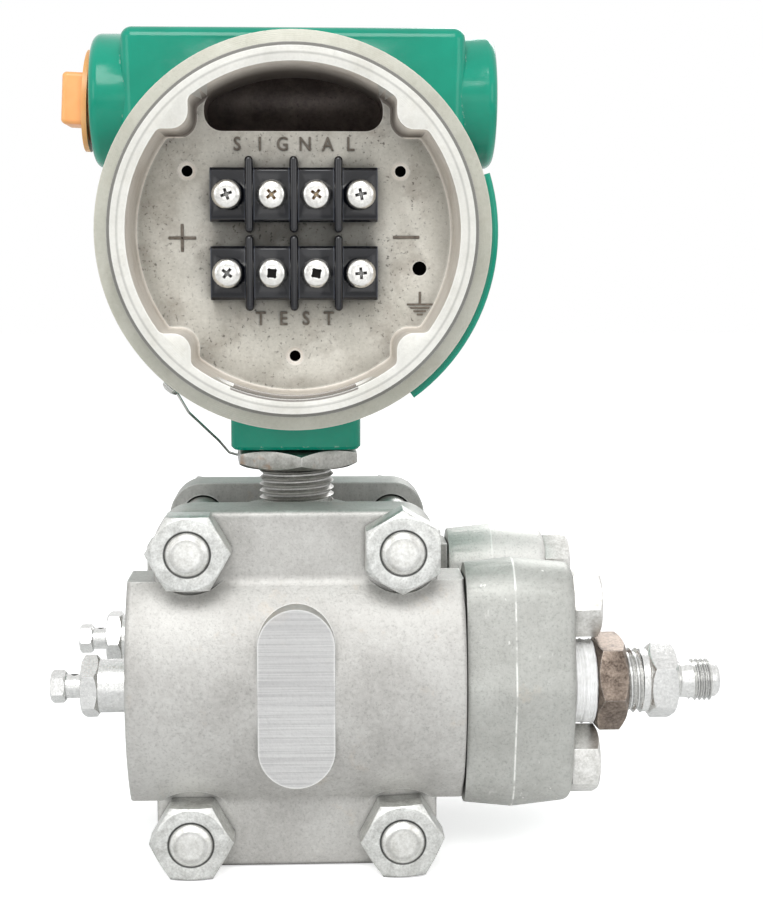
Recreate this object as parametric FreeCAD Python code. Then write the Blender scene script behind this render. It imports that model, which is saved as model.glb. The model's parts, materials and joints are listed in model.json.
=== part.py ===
import FreeCAD, Part
import math
import os

from FreeCAD import Placement, Rotation, Vector

# Differential pressure transmitter with two clamped process flanges.
# Millimetres.  X runs along the process ports (vents at -X, adapters at +X),
# Y runs from the terminal side (-Y) to the electronics side (+Y), Z is up.
# The origin lies on the neck axis, in the plane that the transmitter stands on.

# ---------------------------------------------------------------- driving dimensions
PORT_SPACING = 54.0          # between the centres of the two process ports
ADAPTER_BOLT_SPACING = 41.3  # between the two bolts of a flange adapter
PROCESS_Z = 46.4             # height of the process port axes
HOUSING_Z = 162.3            # height of the housing axis
BOLT_R = 5.55                # 7/16 inch bolts
BOLT_HOLE_R = 6.0
RUNNING_FIT = 0.05           # radial clearance of every turning fit

# process flanges
FLANGE_IN_Y = 18.6           # inner face, from the middle plane
FLANGE_OUT_Y = 34.0          # outer face of the tab plate
FLANGE_CREST_Y = 45.0        # crest of the bulge
FLANGE_HALF_W = 36.0
FLANGE_HALF_H = PROCESS_Z
FLANGE_CORNER_R = 9.0
FLANGE_EDGE_R = 1.6
BULGE_HALF_W = 42.7
BULGE_HALF_H = 28.5
BULGE_EDGE_R = 1.2
BULGE_ROOT_R = 4.0
BULGE_ROOT_HALF_W = 30.0     # the root fillet ends inside the spot faces
BOSS_W = 19.3                # milled obround boss on the bulge
BOSS_H = 45.6
BOSS_DZ = 0.6
BOSS_PROUD = 0.15
FLANGE_BOLT_X = 26.7
FLANGE_BOLT_DZ = 37.0
SPOT_FACE_R = 11.6
BOLT_PROUD = 1.4             # bolt end beyond its nut
NUT_AF = 18.6
NUT_THICK = 9.6
BOLT_HEAD_AF = 15.9
BOLT_HEAD_THICK = 7.4

# ports
PORT_Y = PORT_SPACING / 2
PORT_R = 6.85                # 1/4 NPT
PORT_DEPTH = 13.0
PASSAGE_R = 2.5
PASSAGE_X = 17.0             # where the passage turns towards the diaphragm
CHAMBER_R = 24.0
CHAMBER_DEPTH = 1.4

# sensor module
MODULE_R = 35.0
CELL_R = 20.0
DISH_R = 13.0
DISH_DEPTH = 1.2
DIAPHRAGM_R = 23.0
DIAPHRAGM_THICK = 0.25
DIAPHRAGM_RECESS = 1.0
SENSING_THICK = 0.4
GASKET_IN_R = 25.5
GASKET_OUT_R = 29.5
GASKET_THICK = 1.8
TOWER_R = 15.0
TOWER_TOP_Z = PROCESS_Z + 43.0
NECK_R = 10.1
NECK_BORE_R = 5.0
NECK_TOP_Z = 121.6

# lock nut and housing collar
LOCK_NUT_AF = 31.2
LOCK_NUT_Z = 100.4
LOCK_NUT_THICK = 5.4
LOCK_NUT_TURN = -25.3
COLLAR_HALF = 17.0
COLLAR_Z = 106.2

# housing
BODY_R = 48.7
BODY_HALF_L = 38.0
NOSE_R = 44.8
NOSE_Y = 46.4
NOSE_THREAD_L = 6.6
NOSE_GROOVE = 1.3
CAVITY_R = 40.3
CROSS_HALF_X = 24.9
CROSS_HALF_Z = 24.3
FLOOR_Y = 23.2
WALL_THICK = 6.0
BLOCK_HALF_X = 44.0
BLOCK_HALF_Y = 18.0
CONDUIT_DZ = 34.8            # conduit axis above the housing axis
CONDUIT_BOSS_R = 17.4
CONDUIT_END_X = 52.4
CONDUIT_ENTRY_R = 10.65      # 1/2 NPT
CONDUIT_ENTRY_L = 16.0
CONDUIT_PASSAGE_R = 9.8
OPENING_HALF_X = 22.5
OPENING_DZ = 25.5
POCKET_Y = 5.0               # back wall of the opening towards the conduit passage
ELECTRONICS_STEP_Y = 24.0    # the electronics compartment is a full circle behind this plane
ELECTRONICS_FLAT_DZ = 19.0   # and flat topped in front of it
PAD_R = 51.4
PAD_HALF_L = 29.0
PAD_FROM, PAD_TO = -54.0, 17.0
DRAIN_HALF_ANGLE = 22.0      # shallow slot along the lowest part of the cavity wall
DRAIN_FROM_Y, DRAIN_TO_Y = -42.5, -33.5
DRAIN_DEPTH = 1.3
FLOOR_HOLE_CIRCLE_R = 31.1
FLOOR_HOLE_R = 1.4
FLOOR_HOLE_MOUTH_R = 2.3
FLOOR_HOLE_ANGLES = (-90, 30, 150)
GROUND_HOLE = (31.8, -8.9)
GROUND_HOLE_R = 1.8

# terminal strips
STRIP_W = 41.7
STRIP_H = 13.4
STRIP_DEPTH = 8.0
POLE_PITCH = 11.05
BARRIER_W = 2.1
BARRIER_H = 18.7
BARRIER_DEPTH = 11.2
BARRIER_CREST_R = 0.9
SIGNAL_DZ = 9.4
TEST_DZ = -10.0
SCREW_HEAD_R = 3.7
SCREW_HEAD_H = 2.3
SCREW_SHANK_R = 1.9
SCREW_SHANK_L = 4.5
SCREW_LIFTS = (1.3, 0.0, 0.0, 1.3)
FEEDTHROUGH_R = 2.0
FEEDTHROUGH_PIN_R = 0.6

# flange adapters
ADAPTER_IN_X = BULGE_HALF_W + 0.4
ADAPTER_RIDGE_X = 55.4
ADAPTER_OUT_X = 71.0
ADAPTER_END_R = 12.2
ADAPTER_MID_R = 16.4
ADAPTER_DRAFT = 6.0
ADAPTER_EDGE_R = 2.6
ADAPTER_PORT_R = 10.65       # 1/2 NPT
ADAPTER_PORT_L = 17.0
ADAPTER_BOLT_L = 41.2
GASKET_SEAT_DEPTH = 1.2
GASKET_SEAT_W = 4.0

# fitting on the front adapter
TAPE_X = ADAPTER_OUT_X - 9.0
TAPE_BUNCH_R = 11.35
BUSHING_START_X = 59.6
BUSHING_SHANK_R = 10.2
BUSHING_AF = 22.2
BUSHING_X = 77.0
BUSHING_END_X = 84.9
CONNECTOR_START_X = 73.0
CONNECTOR_SHANK_R = 8.55     # 3/8 NPT
CONNECTOR_HEX_AF = 17.5
CONNECTOR_HEX_X = 91.2
CONNECTOR_HEX_END_X = 98.2
CONNECTOR_WAIST_R = 4.3
TUBE_THREAD_X = 101.9
TUBE_THREAD_END_X = 107.6
TUBE_THREAD_R = 5.55         # 7/16-20
TUBE_BORE_R = 2.4
TUBE_END_X = 110.0

# drain and vent valves
VENT_HEX_AF = 14.3
VENT_HEX_X = 50.6
VENT_HEX_END_X = 55.1
VENT_INNER_X = 30.9
VENT_SEAT_R = 1.2
STEM_TIP_X = 39.6
STEM_R = 3.1
STEM_HOLE_X = 57.2
STEM_HOLE_R = 0.9
STEM_HEAD_X = 59.3
STEM_END_X = 63.1
STEM_HEAD_AF = 7.4

# conduit plug
PLUG_TILT = 3.0
PLUG_FLANGE_R = 13.2
PLUG_FLANGE_T = 1.3
PLUG_SHANK_R = 10.1
PLUG_SHANK_L = 7.5
PLUG_WALL = 1.8
PLUG_GRIP_X = 7.2
PLUG_GRIP_HALF_Y = 7.5
PLUG_GRIP_HALF_Z = 6.7

# rear cover, its seal and the electronics
COVER_R = 49.8
COVER_Y = BODY_HALF_L + 1.0
COVER_END_Y = COVER_Y + 22.0
COVER_WALL = 4.0
COVER_RIBS = 12
SEAL_THICK = 0.8
BOARD_R = 37.0
BOARD_T = 1.6
AMPLIFIER_Y = 27.0
CALIBRATION_Y = 40.0
POST_AF = 5.5
POST_CIRCLE_R = 32.0
BOARD_HOLE_R = 1.6

# tag wire
WIRE_R = 0.35
WIRE_BEND_R = 2.4
TAG_SCREW_ANGLE = 231.0
TAG_SCREW_Y = -24.0

X = Vector(1, 0, 0)
Y = Vector(0, 1, 0)
Z = Vector(0, 0, 1)
ORIGIN = Vector(0, 0, 0)
SIDES = {"front": -1, "rear": 1}


# ---------------------------------------------------------------- shape helpers
def box(x0, x1, y0, y1, z0, z1):
    return Part.makeBox(x1 - x0, y1 - y0, z1 - z0, Vector(x0, y0, z0))


def cylinder(radius, start, axis, length):
    return Part.makeCylinder(radius, length, start, axis)


def aim(shape, start, axis):
    """Turn a shape made along +Z so that it points along axis, from start."""
    shape.Placement = Placement(start, Rotation(Z, axis))
    return shape


def turned(profile, start, axis):
    """Solid of revolution of a closed profile of (distance along axis, radius) points."""
    points = [Vector(radius, 0, along) for along, radius in profile]
    face = Part.Face(Part.makePolygon(points + points[:1]))
    return aim(face.revolve(ORIGIN, Z, 360), start, axis)


def hexagon(across_flats, start, axis, length, turn=0.0, both_ends=True, chamfer=1.0):
    """Hexagonal prism with turned chamfers; turn rotates it about its own axis."""
    corner_r = across_flats / math.sqrt(3)
    corners = [Vector(corner_r * math.cos(math.radians(turn + 60 * k)),
                      corner_r * math.sin(math.radians(turn + 60 * k)), 0) for k in range(6)]
    prism = Part.Face(Part.makePolygon(corners + corners[:1])).extrude(Vector(0, 0, length))
    face_r = across_flats / 2 * 0.96
    foot = [(0, 0), (0, face_r), (chamfer, corner_r)] if both_ends else [(0, 0), (0, corner_r)]
    limit = turned(foot + [(length - chamfer, corner_r), (length, face_r), (length, 0)], ORIGIN, Z)
    return aim(prism.common(limit), start, axis)


def obround(width, height, x, z, y0, y1):
    """Upright obround prism round the point x, z, between two Y planes."""
    r = width / 2
    straight = height / 2 - r
    solid = box(x - r, x + r, y0, y1, z - straight, z + straight)
    for end in (-1, 1):
        solid = solid.fuse(cylinder(r, Vector(x, y0, z + end * straight), Y, y1 - y0))
    return solid.removeSplitter()


def edges_along(shape, axis, test=lambda middle: True):
    """Straight edges parallel to axis whose midpoint passes the test."""
    found = []
    for edge in shape.Edges:
        if not isinstance(edge.Curve, Part.Line):
            continue
        if abs(edge.tangentAt(edge.FirstParameter).dot(axis)) > 0.999 and test(edge.CenterOfMass):
            found.append(edge)
    return found


def tangent_hull(mid_r, end_r, half_spacing):
    """Closed wire in the YZ plane round a middle circle and two equal end circles above and below."""
    lean = math.asin((mid_r - end_r) / half_spacing)
    out = Vector(0, math.cos(lean), math.sin(lean))
    upper, lower = Vector(0, 0, half_spacing), Vector(0, 0, -half_spacing)

    def flip_y(v):
        return Vector(0, -v.y, v.z)

    def flip_z(v):
        return Vector(0, v.y, -v.z)

    mid_up = out * mid_r
    end_up = upper + out * end_r
    points = [mid_up, end_up, flip_y(end_up), flip_y(mid_up)]
    edges = [
        Part.makeLine(mid_up, end_up),
        Part.Arc(end_up, upper + Vector(0, 0, end_r), points[2]).toShape(),
        Part.makeLine(points[2], points[3]),
        Part.Arc(points[3], Vector(0, -mid_r, 0), flip_z(points[3])).toShape(),
        Part.makeLine(flip_z(points[3]), flip_z(points[2])),
        Part.Arc(flip_z(points[2]), lower - Vector(0, 0, end_r), flip_z(end_up)).toShape(),
        Part.makeLine(flip_z(end_up), flip_z(mid_up)),
        Part.Arc(flip_z(mid_up), Vector(0, mid_r, 0), mid_up).toShape(),
    ]
    return Part.Wire(edges)


def at_housing(x, dz, y):
    """Point given from the housing axis."""
    return Vector(x, y, HOUSING_Z + dz)


def on_circle(radius, angles):
    """(x, dz) of points round the housing axis; angles in degrees from +X towards +Z."""
    return [(radius * math.cos(math.radians(a)), radius * math.sin(math.radians(a))) for a in angles]


def flange_bolt_places():
    return [(sx * FLANGE_BOLT_X, PROCESS_Z + sz * FLANGE_BOLT_DZ) for sz in (1, -1) for sx in (-1, 1)]


def adapter_bolt_places():
    return [(side * PORT_Y, PROCESS_Z + sz * ADAPTER_BOLT_SPACING / 2) for side in (-1, 1) for sz in (1, -1)]


# ---------------------------------------------------------------- process flanges
def bulge():
    lo, hi = PROCESS_Z - BULGE_HALF_H, PROCESS_Z + BULGE_HALF_H
    corners = [Vector(-BULGE_HALF_W, -y, z) for y, z in
               ((FLANGE_OUT_Y, hi), (FLANGE_IN_Y, hi), (FLANGE_IN_Y, lo), (FLANGE_OUT_Y, lo))]
    edges = [Part.makeLine(corners[k], corners[k + 1]) for k in range(3)]
    crest = Vector(-BULGE_HALF_W, -FLANGE_CREST_Y, PROCESS_Z)
    edges.append(Part.Arc(corners[3], crest, corners[0]).toShape())
    solid = Part.Face(Part.Wire(edges)).extrude(Vector(2 * BULGE_HALF_W, 0, 0))
    ends = [edge for edge in solid.Edges if isinstance(edge.Curve, Part.Circle)]
    return solid.makeFillet(BULGE_EDGE_R, ends)


def bulge_root(end, radius=BULGE_ROOT_R):
    """Fillet between the bulge and the tab above it (end 1) or below it (end -1)."""
    crest_r = (BULGE_HALF_H ** 2 + (FLANGE_CREST_Y - FLANGE_OUT_Y) ** 2) / 2 / (FLANGE_CREST_Y - FLANGE_OUT_Y)
    centre_y = FLANGE_CREST_Y - crest_r
    root_y = FLANGE_OUT_Y + radius
    root_z = math.sqrt((crest_r + radius) ** 2 - (root_y - centre_y) ** 2)
    share = crest_r / (crest_r + radius)
    on_bulge = (centre_y + (root_y - centre_y) * share, root_z * share)
    lean = math.atan2(on_bulge[1] - root_z, on_bulge[0] - root_y)
    half = (lean - math.pi) / 2 if lean > 0 else (lean + math.pi) / 2
    middle = (root_y + radius * math.cos(math.pi + half), root_z + radius * math.sin(math.pi + half))
    inside_y = FLANGE_OUT_Y - 1.5

    def at(y, dz):
        return Vector(-BULGE_ROOT_HALF_W, -y, PROCESS_Z + end * dz)

    edges = [Part.Arc(at(*on_bulge), at(*middle), at(FLANGE_OUT_Y, root_z)).toShape(),
             Part.makeLine(at(FLANGE_OUT_Y, root_z), at(inside_y, root_z)),
             Part.makeLine(at(inside_y, root_z), at(inside_y, on_bulge[1])),
             Part.makeLine(at(inside_y, on_bulge[1]), at(*on_bulge))]
    return Part.Face(Part.Wire(edges)).extrude(Vector(2 * BULGE_ROOT_HALF_W, 0, 0))


def front_flange():
    plate = box(-FLANGE_HALF_W, FLANGE_HALF_W, -FLANGE_OUT_Y, -FLANGE_IN_Y,
                PROCESS_Z - FLANGE_HALF_H, PROCESS_Z + FLANGE_HALF_H)
    plate = plate.makeFillet(FLANGE_CORNER_R, edges_along(plate, Y))
    rim = [edge for edge in plate.Edges if abs(edge.CenterOfMass.y + FLANGE_OUT_Y) < 0.01]
    plate = plate.makeFillet(FLANGE_EDGE_R, rim)
    body = plate.fuse([bulge(), bulge_root(1), bulge_root(-1)]).removeSplitter()
    boss = obround(BOSS_W, BOSS_H, 0, PROCESS_Z + BOSS_DZ, -FLANGE_CREST_Y - BOSS_PROUD, -FLANGE_OUT_Y)
    body = body.fuse(boss).removeSplitter()

    cuts = []
    for x, z in flange_bolt_places():
        cuts.append(cylinder(SPOT_FACE_R, Vector(x, -FLANGE_CREST_Y - 2, z), Y,
                             FLANGE_CREST_Y + 2 - FLANGE_OUT_Y))
        cuts.append(cylinder(BOLT_HOLE_R, Vector(x, -FLANGE_OUT_Y - 1, z), Y, FLANGE_OUT_Y + 1))
    # shallow chamber over the isolating diaphragm, fed from the port and the vent
    cuts.append(turned([(0, 0), (0, CHAMBER_R), (CHAMBER_DEPTH, CHAMBER_R - 2), (CHAMBER_DEPTH, 0)],
                       Vector(0, -FLANGE_IN_Y, PROCESS_Z), -Y))
    for end in (-1, 1):
        bottom_x = BULGE_HALF_W - PORT_DEPTH
        cuts.append(cylinder(PORT_R, Vector(end * BULGE_HALF_W, -PORT_Y, PROCESS_Z), X * -end, PORT_DEPTH))
        cuts.append(cylinder(PASSAGE_R, Vector(end * bottom_x, -PORT_Y, PROCESS_Z), X * -end,
                             bottom_x - PASSAGE_X + PASSAGE_R))
        cuts.append(cylinder(PASSAGE_R, Vector(end * PASSAGE_X, -PORT_Y, PROCESS_Z), Y, PORT_Y - FLANGE_IN_Y))
    for end in (-1, 1):
        mouth = Vector(BULGE_HALF_W, -PORT_Y, PROCESS_Z + end * ADAPTER_BOLT_SPACING / 2)
        cuts.append(cylinder(BOLT_R, mouth, -X, ADAPTER_BOLT_L - (ADAPTER_OUT_X - BULGE_HALF_W) + 1.5))
    for cut in cuts:
        body = body.cut(cut)
    return body


def mirrored(shape):
    return shape.mirror(ORIGIN, Y)


# ---------------------------------------------------------------- sensor module
def sensor_module():
    """Drum that holds the capsule, with the tower that the neck is welded to."""
    body = cylinder(MODULE_R, Vector(0, -FLANGE_IN_Y, PROCESS_Z), Y, 2 * FLANGE_IN_Y)
    body = body.makeFillet(1.0, [e for e in body.Edges if isinstance(e.Curve, Part.Circle)])
    tower_h = TOWER_TOP_Z - PROCESS_Z
    body = body.fuse(turned([(0, 0), (0, TOWER_R), (tower_h - 1, TOWER_R), (tower_h, TOWER_R - 1), (tower_h, 0)],
                            Vector(0, 0, PROCESS_Z), Z))
    wire_room = 8.0
    body = body.cut(cylinder(NECK_BORE_R, Vector(0, 0, TOWER_TOP_Z - wire_room), Z, wire_room + 1))
    body = body.cut(cylinder(CELL_R, Vector(0, -FLANGE_IN_Y - 1, PROCESS_Z), Y, 2 * FLANGE_IN_Y + 2))
    for side in SIDES.values():
        face = Vector(0, side * FLANGE_IN_Y, PROCESS_Z)
        body = body.cut(cylinder(DIAPHRAGM_R + 0.3, face, Y * -side, DIAPHRAGM_RECESS))
        groove = cylinder(GASKET_OUT_R, face, Y * -side, GASKET_THICK).cut(
            cylinder(GASKET_IN_R, face, Y * -side, GASKET_THICK))
        body = body.cut(groove)
    return body


def threaded_neck():
    """Tube that the housing screws onto; the wires from the cell run up through it."""
    length = NECK_TOP_Z - TOWER_TOP_Z
    return turned([(0, NECK_BORE_R), (0, NECK_R), (length - 1, NECK_R), (length, NECK_R - 1), (length, NECK_BORE_R)],
                  Vector(0, 0, TOWER_TOP_Z), Z)


def cell_half(side):
    """Half of the sensing capsule, dished towards the sensing diaphragm."""
    inner = SENSING_THICK / 2
    outer = FLANGE_IN_Y - DIAPHRAGM_RECESS
    oil_hole_r = 1.0
    return turned([(inner + DISH_DEPTH, oil_hole_r), (inner + DISH_DEPTH * 0.75, DISH_R / 2), (inner, DISH_R),
                   (inner, CELL_R), (outer, CELL_R), (outer, oil_hole_r)],
                  Vector(0, 0, PROCESS_Z), Y * side)


def sensing_diaphragm():
    return cylinder(CELL_R, Vector(0, -SENSING_THICK / 2, PROCESS_Z), Y, SENSING_THICK)


def isolating_diaphragm(side):
    """Thin disc with concentric convolutions, seated in the recess of the module's face."""
    wave, folds = 0.35, 5
    low = [(0.0, DIAPHRAGM_R), (0.0, CELL_R)]
    step = (CELL_R - 6.0) / (2 * folds)
    for k in range(1, 2 * folds + 1):
        low.append((wave if k % 2 else 0.0, CELL_R - k * step))
    low.append((0.0, 0.0))
    high = [(along + DIAPHRAGM_THICK, radius) for along, radius in reversed(low)]
    return turned(low + high, Vector(0, side * (FLANGE_IN_Y - DIAPHRAGM_RECESS), PROCESS_Z), Y * side)


def flange_gasket(side):
    start = Vector(0, side * (FLANGE_IN_Y - GASKET_THICK), PROCESS_Z)
    return turned([(0, GASKET_IN_R), (0, GASKET_OUT_R), (GASKET_THICK, GASKET_OUT_R),
                   (GASKET_THICK, GASKET_IN_R)], start, Y * side)


# ---------------------------------------------------------------- clamping bolts
def flange_bolt(x, z):
    end = FLANGE_OUT_Y + NUT_THICK + BOLT_PROUD
    length = end + FLANGE_OUT_Y
    shank = turned([(0, 0), (0, BOLT_R), (length - 1.2, BOLT_R), (length, BOLT_R - 1.5), (length, 0)],
                   Vector(x, FLANGE_OUT_Y, z), -Y)
    head = hexagon(BOLT_HEAD_AF, Vector(x, FLANGE_OUT_Y, z), Y, BOLT_HEAD_THICK, turn=12, both_ends=False)
    return shank.fuse(head).removeSplitter()


def flange_nut(x, z, turn):
    nut = hexagon(NUT_AF, Vector(x, -FLANGE_OUT_Y, z), -Y, NUT_THICK, turn=turn, both_ends=False, chamfer=1.3)
    return nut.cut(cylinder(BOLT_R, Vector(x, -FLANGE_OUT_Y + 1, z), -Y, NUT_THICK + 2))


def flange_bolts():
    return Part.makeCompound([flange_bolt(x, z) for x, z in flange_bolt_places()])


def flange_nuts():
    turns = [0.0, 30.0, 0.0, 3.0]
    return Part.makeCompound([flange_nut(x, z, turn) for (x, z), turn in zip(flange_bolt_places(), turns)])


# ---------------------------------------------------------------- flange adapters
def adapter(side):
    half = ADAPTER_BOLT_SPACING / 2
    sections = []
    for x in (ADAPTER_IN_X, ADAPTER_RIDGE_X, ADAPTER_OUT_X):
        shrink = abs(x - ADAPTER_RIDGE_X) * math.tan(math.radians(ADAPTER_DRAFT))
        wire = tangent_hull(ADAPTER_MID_R - shrink, ADAPTER_END_R - shrink, half)
        wire.Placement = Placement(Vector(x, side * PORT_Y, PROCESS_Z), Rotation())
        sections.append(wire)
    inner = Part.makeLoft(sections[:2], True, True)
    outer = Part.makeLoft(sections[1:], True, True)
    face_edges = [e for e in outer.Edges if abs(e.CenterOfMass.x - ADAPTER_OUT_X) < 0.01]
    outer = outer.makeFillet(ADAPTER_EDGE_R, face_edges)
    body = inner.fuse(outer)
    axis_start = Vector(ADAPTER_OUT_X, side * PORT_Y, PROCESS_Z)
    body = body.cut(cylinder(ADAPTER_PORT_R, axis_start, -X, ADAPTER_PORT_L))
    body = body.cut(cylinder(PORT_R, axis_start, -X, ADAPTER_OUT_X - ADAPTER_IN_X + 1))
    seat = Vector(ADAPTER_IN_X, side * PORT_Y, PROCESS_Z)
    body = body.cut(cylinder(PORT_R + GASKET_SEAT_W, seat, X, GASKET_SEAT_DEPTH))
    for end in (-1, 1):
        body = body.cut(cylinder(BOLT_HOLE_R, Vector(ADAPTER_OUT_X + 1, side * PORT_Y, PROCESS_Z + end * half),
                                 -X, ADAPTER_OUT_X - ADAPTER_IN_X + 2))
    return body


def adapter_gasket(side):
    length = ADAPTER_IN_X + GASKET_SEAT_DEPTH - BULGE_HALF_W
    inner_r, outer_r = PORT_R + 0.4, PORT_R + GASKET_SEAT_W
    return turned([(0, inner_r), (0, outer_r), (length, outer_r), (length, inner_r)],
                  Vector(BULGE_HALF_W, side * PORT_Y, PROCESS_Z), X)


def adapter_bolt(y, z, turn):
    shank = turned([(0, 0), (0, BOLT_R - 1), (1, BOLT_R), (ADAPTER_BOLT_L, BOLT_R), (ADAPTER_BOLT_L, 0)],
                   Vector(ADAPTER_OUT_X - ADAPTER_BOLT_L, y, z), X)
    head = hexagon(BOLT_HEAD_AF, Vector(ADAPTER_OUT_X, y, z), X, BOLT_HEAD_THICK, turn=turn, both_ends=False)
    return shank.fuse(head).removeSplitter()


def adapter_bolts():
    turns = [30.0, 0.0, 8.0, 20.0]
    return Part.makeCompound([adapter_bolt(y, z, turn) for (y, z), turn in zip(adapter_bolt_places(), turns)])


# ---------------------------------------------------------------- fitting on the front adapter
def on_front_port(x):
    return Vector(x, -PORT_Y, PROCESS_Z)


def thread_seal_tape():
    """Several turns of tape, pressed flat inside the adapter and bunched outside it."""
    free_l = BUSHING_X - ADAPTER_OUT_X
    bulk = [(TAPE_X, ADAPTER_PORT_R), (ADAPTER_OUT_X, ADAPTER_PORT_R), (ADAPTER_OUT_X, TAPE_BUNCH_R - 0.6),
            (ADAPTER_OUT_X + free_l * 0.3, TAPE_BUNCH_R), (ADAPTER_OUT_X + free_l * 0.8, TAPE_BUNCH_R - 0.1),
            (BUSHING_X, TAPE_BUNCH_R - 0.7)]
    profile = [(TAPE_X, BUSHING_SHANK_R)] + bulk + [(BUSHING_X, BUSHING_SHANK_R)]
    return turned([(x - TAPE_X, r) for x, r in profile], on_front_port(TAPE_X), X)


def reducer_bushing():
    shank_l = BUSHING_X - BUSHING_START_X
    shank = turned([(0, 0), (0, BUSHING_SHANK_R - 0.8), (1, BUSHING_SHANK_R), (shank_l, BUSHING_SHANK_R),
                    (shank_l, 0)], on_front_port(BUSHING_START_X), X)
    head = hexagon(BUSHING_AF, on_front_port(BUSHING_X), X, BUSHING_END_X - BUSHING_X, turn=40, chamfer=1.4)
    body = shank.fuse(head).removeSplitter()
    body = body.cut(cylinder(CONNECTOR_SHANK_R, on_front_port(CONNECTOR_START_X - 1), X,
                             BUSHING_END_X - CONNECTOR_START_X + 2))
    return body.cut(cylinder(PORT_R, on_front_port(BUSHING_START_X - 1), X, BUSHING_END_X - BUSHING_START_X + 2))


def tube_connector():
    """Male connector: pipe thread, hexagon, waist, tube thread and a coned end."""
    outline = [(CONNECTOR_START_X, TUBE_BORE_R), (CONNECTOR_START_X, CONNECTOR_SHANK_R - 0.8),
               (CONNECTOR_START_X + 1, CONNECTOR_SHANK_R), (CONNECTOR_HEX_X, CONNECTOR_SHANK_R),
               (CONNECTOR_HEX_END_X, CONNECTOR_SHANK_R - 0.5), (CONNECTOR_HEX_END_X, CONNECTOR_WAIST_R),
               (TUBE_THREAD_X - 0.5, CONNECTOR_WAIST_R), (TUBE_THREAD_X, TUBE_THREAD_R),
               (TUBE_THREAD_END_X, TUBE_THREAD_R), (TUBE_THREAD_END_X + 0.6, TUBE_THREAD_R - 0.9),
               (TUBE_END_X - 1.2, TUBE_THREAD_R - 0.9), (TUBE_END_X, TUBE_THREAD_R - 2.0),
               (TUBE_END_X, TUBE_BORE_R + 0.7), (TUBE_END_X - 1.1, TUBE_BORE_R)]
    body = turned([(x - CONNECTOR_START_X, r) for x, r in outline], on_front_port(CONNECTOR_START_X), X)
    hex_l = CONNECTOR_HEX_END_X - CONNECTOR_HEX_X
    grip = hexagon(CONNECTOR_HEX_AF, on_front_port(CONNECTOR_HEX_X), X, hex_l, turn=30, chamfer=1.1)
    grip = grip.cut(cylinder(TUBE_BORE_R, on_front_port(CONNECTOR_HEX_X - 1), X, hex_l + 2))
    return body.fuse(grip).removeSplitter()


# ---------------------------------------------------------------- drain and vent valves
def vent_body(side, turn):
    """Valve body screwed into the flange, bored for the stem."""
    length = VENT_HEX_X - VENT_INNER_X
    body = turned([(0, 0), (0, PORT_R - 0.8), (1, PORT_R), (length, PORT_R), (length, 0)],
                  Vector(-VENT_INNER_X, side * PORT_Y, PROCESS_Z), -X)
    grip = hexagon(VENT_HEX_AF, Vector(-VENT_HEX_X, side * PORT_Y, PROCESS_Z), -X,
                   VENT_HEX_END_X - VENT_HEX_X, turn=turn, chamfer=0.9)
    body = body.fuse(grip).removeSplitter()
    mouth = Vector(-VENT_HEX_END_X, side * PORT_Y, PROCESS_Z)
    body = body.cut(cylinder(STEM_R + RUNNING_FIT, mouth, X, VENT_HEX_END_X - STEM_TIP_X + 0.5))
    return body.cut(cylinder(VENT_SEAT_R, mouth, X, VENT_HEX_END_X - VENT_INNER_X + 1))


def vent_stem(side, turn):
    """Screw with a conical tip; its cross hole lets the process fluid out behind the head."""
    length = STEM_HEAD_X - STEM_TIP_X
    stem = turned([(0, 0), (1.2, STEM_R - 0.4), (1.6, STEM_R), (length, STEM_R), (length, 0)],
                  Vector(-STEM_TIP_X, side * PORT_Y, PROCESS_Z), -X)
    head = hexagon(STEM_HEAD_AF, Vector(-STEM_HEAD_X, side * PORT_Y, PROCESS_Z), -X,
                   STEM_END_X - STEM_HEAD_X, turn=turn, chamfer=0.6)
    stem = stem.fuse(head).removeSplitter()
    return stem.cut(cylinder(STEM_HOLE_R, Vector(-STEM_HOLE_X, side * PORT_Y, PROCESS_Z - STEM_R - 1), Z,
                             2 * STEM_R + 2))


# ---------------------------------------------------------------- lock nut and housing
def lock_nut():
    nut = hexagon(LOCK_NUT_AF, Vector(0, 0, LOCK_NUT_Z), Z, LOCK_NUT_THICK, turn=LOCK_NUT_TURN, chamfer=1.5)
    return nut.cut(cylinder(NECK_R + RUNNING_FIT, Vector(0, 0, LOCK_NUT_Z - 1), Z, LOCK_NUT_THICK + 2))


def ring_sector(inner_r, outer_r, y0, y1, from_deg, to_deg):
    """Sector of a ring round the housing axis; angles from +X towards +Z."""
    ring = Part.makeCylinder(outer_r, y1 - y0, Vector(0, 0, 0), Z, to_deg - from_deg)
    ring = ring.cut(Part.makeCylinder(inner_r, y1 - y0, Vector(0, 0, 0), Z))
    # local X -> X, local Y -> Z, local Z -> -Y
    ring.rotate(ORIGIN, Z, from_deg)
    ring.rotate(ORIGIN, X, 90)
    ring.translate(Vector(0, y1, HOUSING_Z))
    return ring


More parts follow.
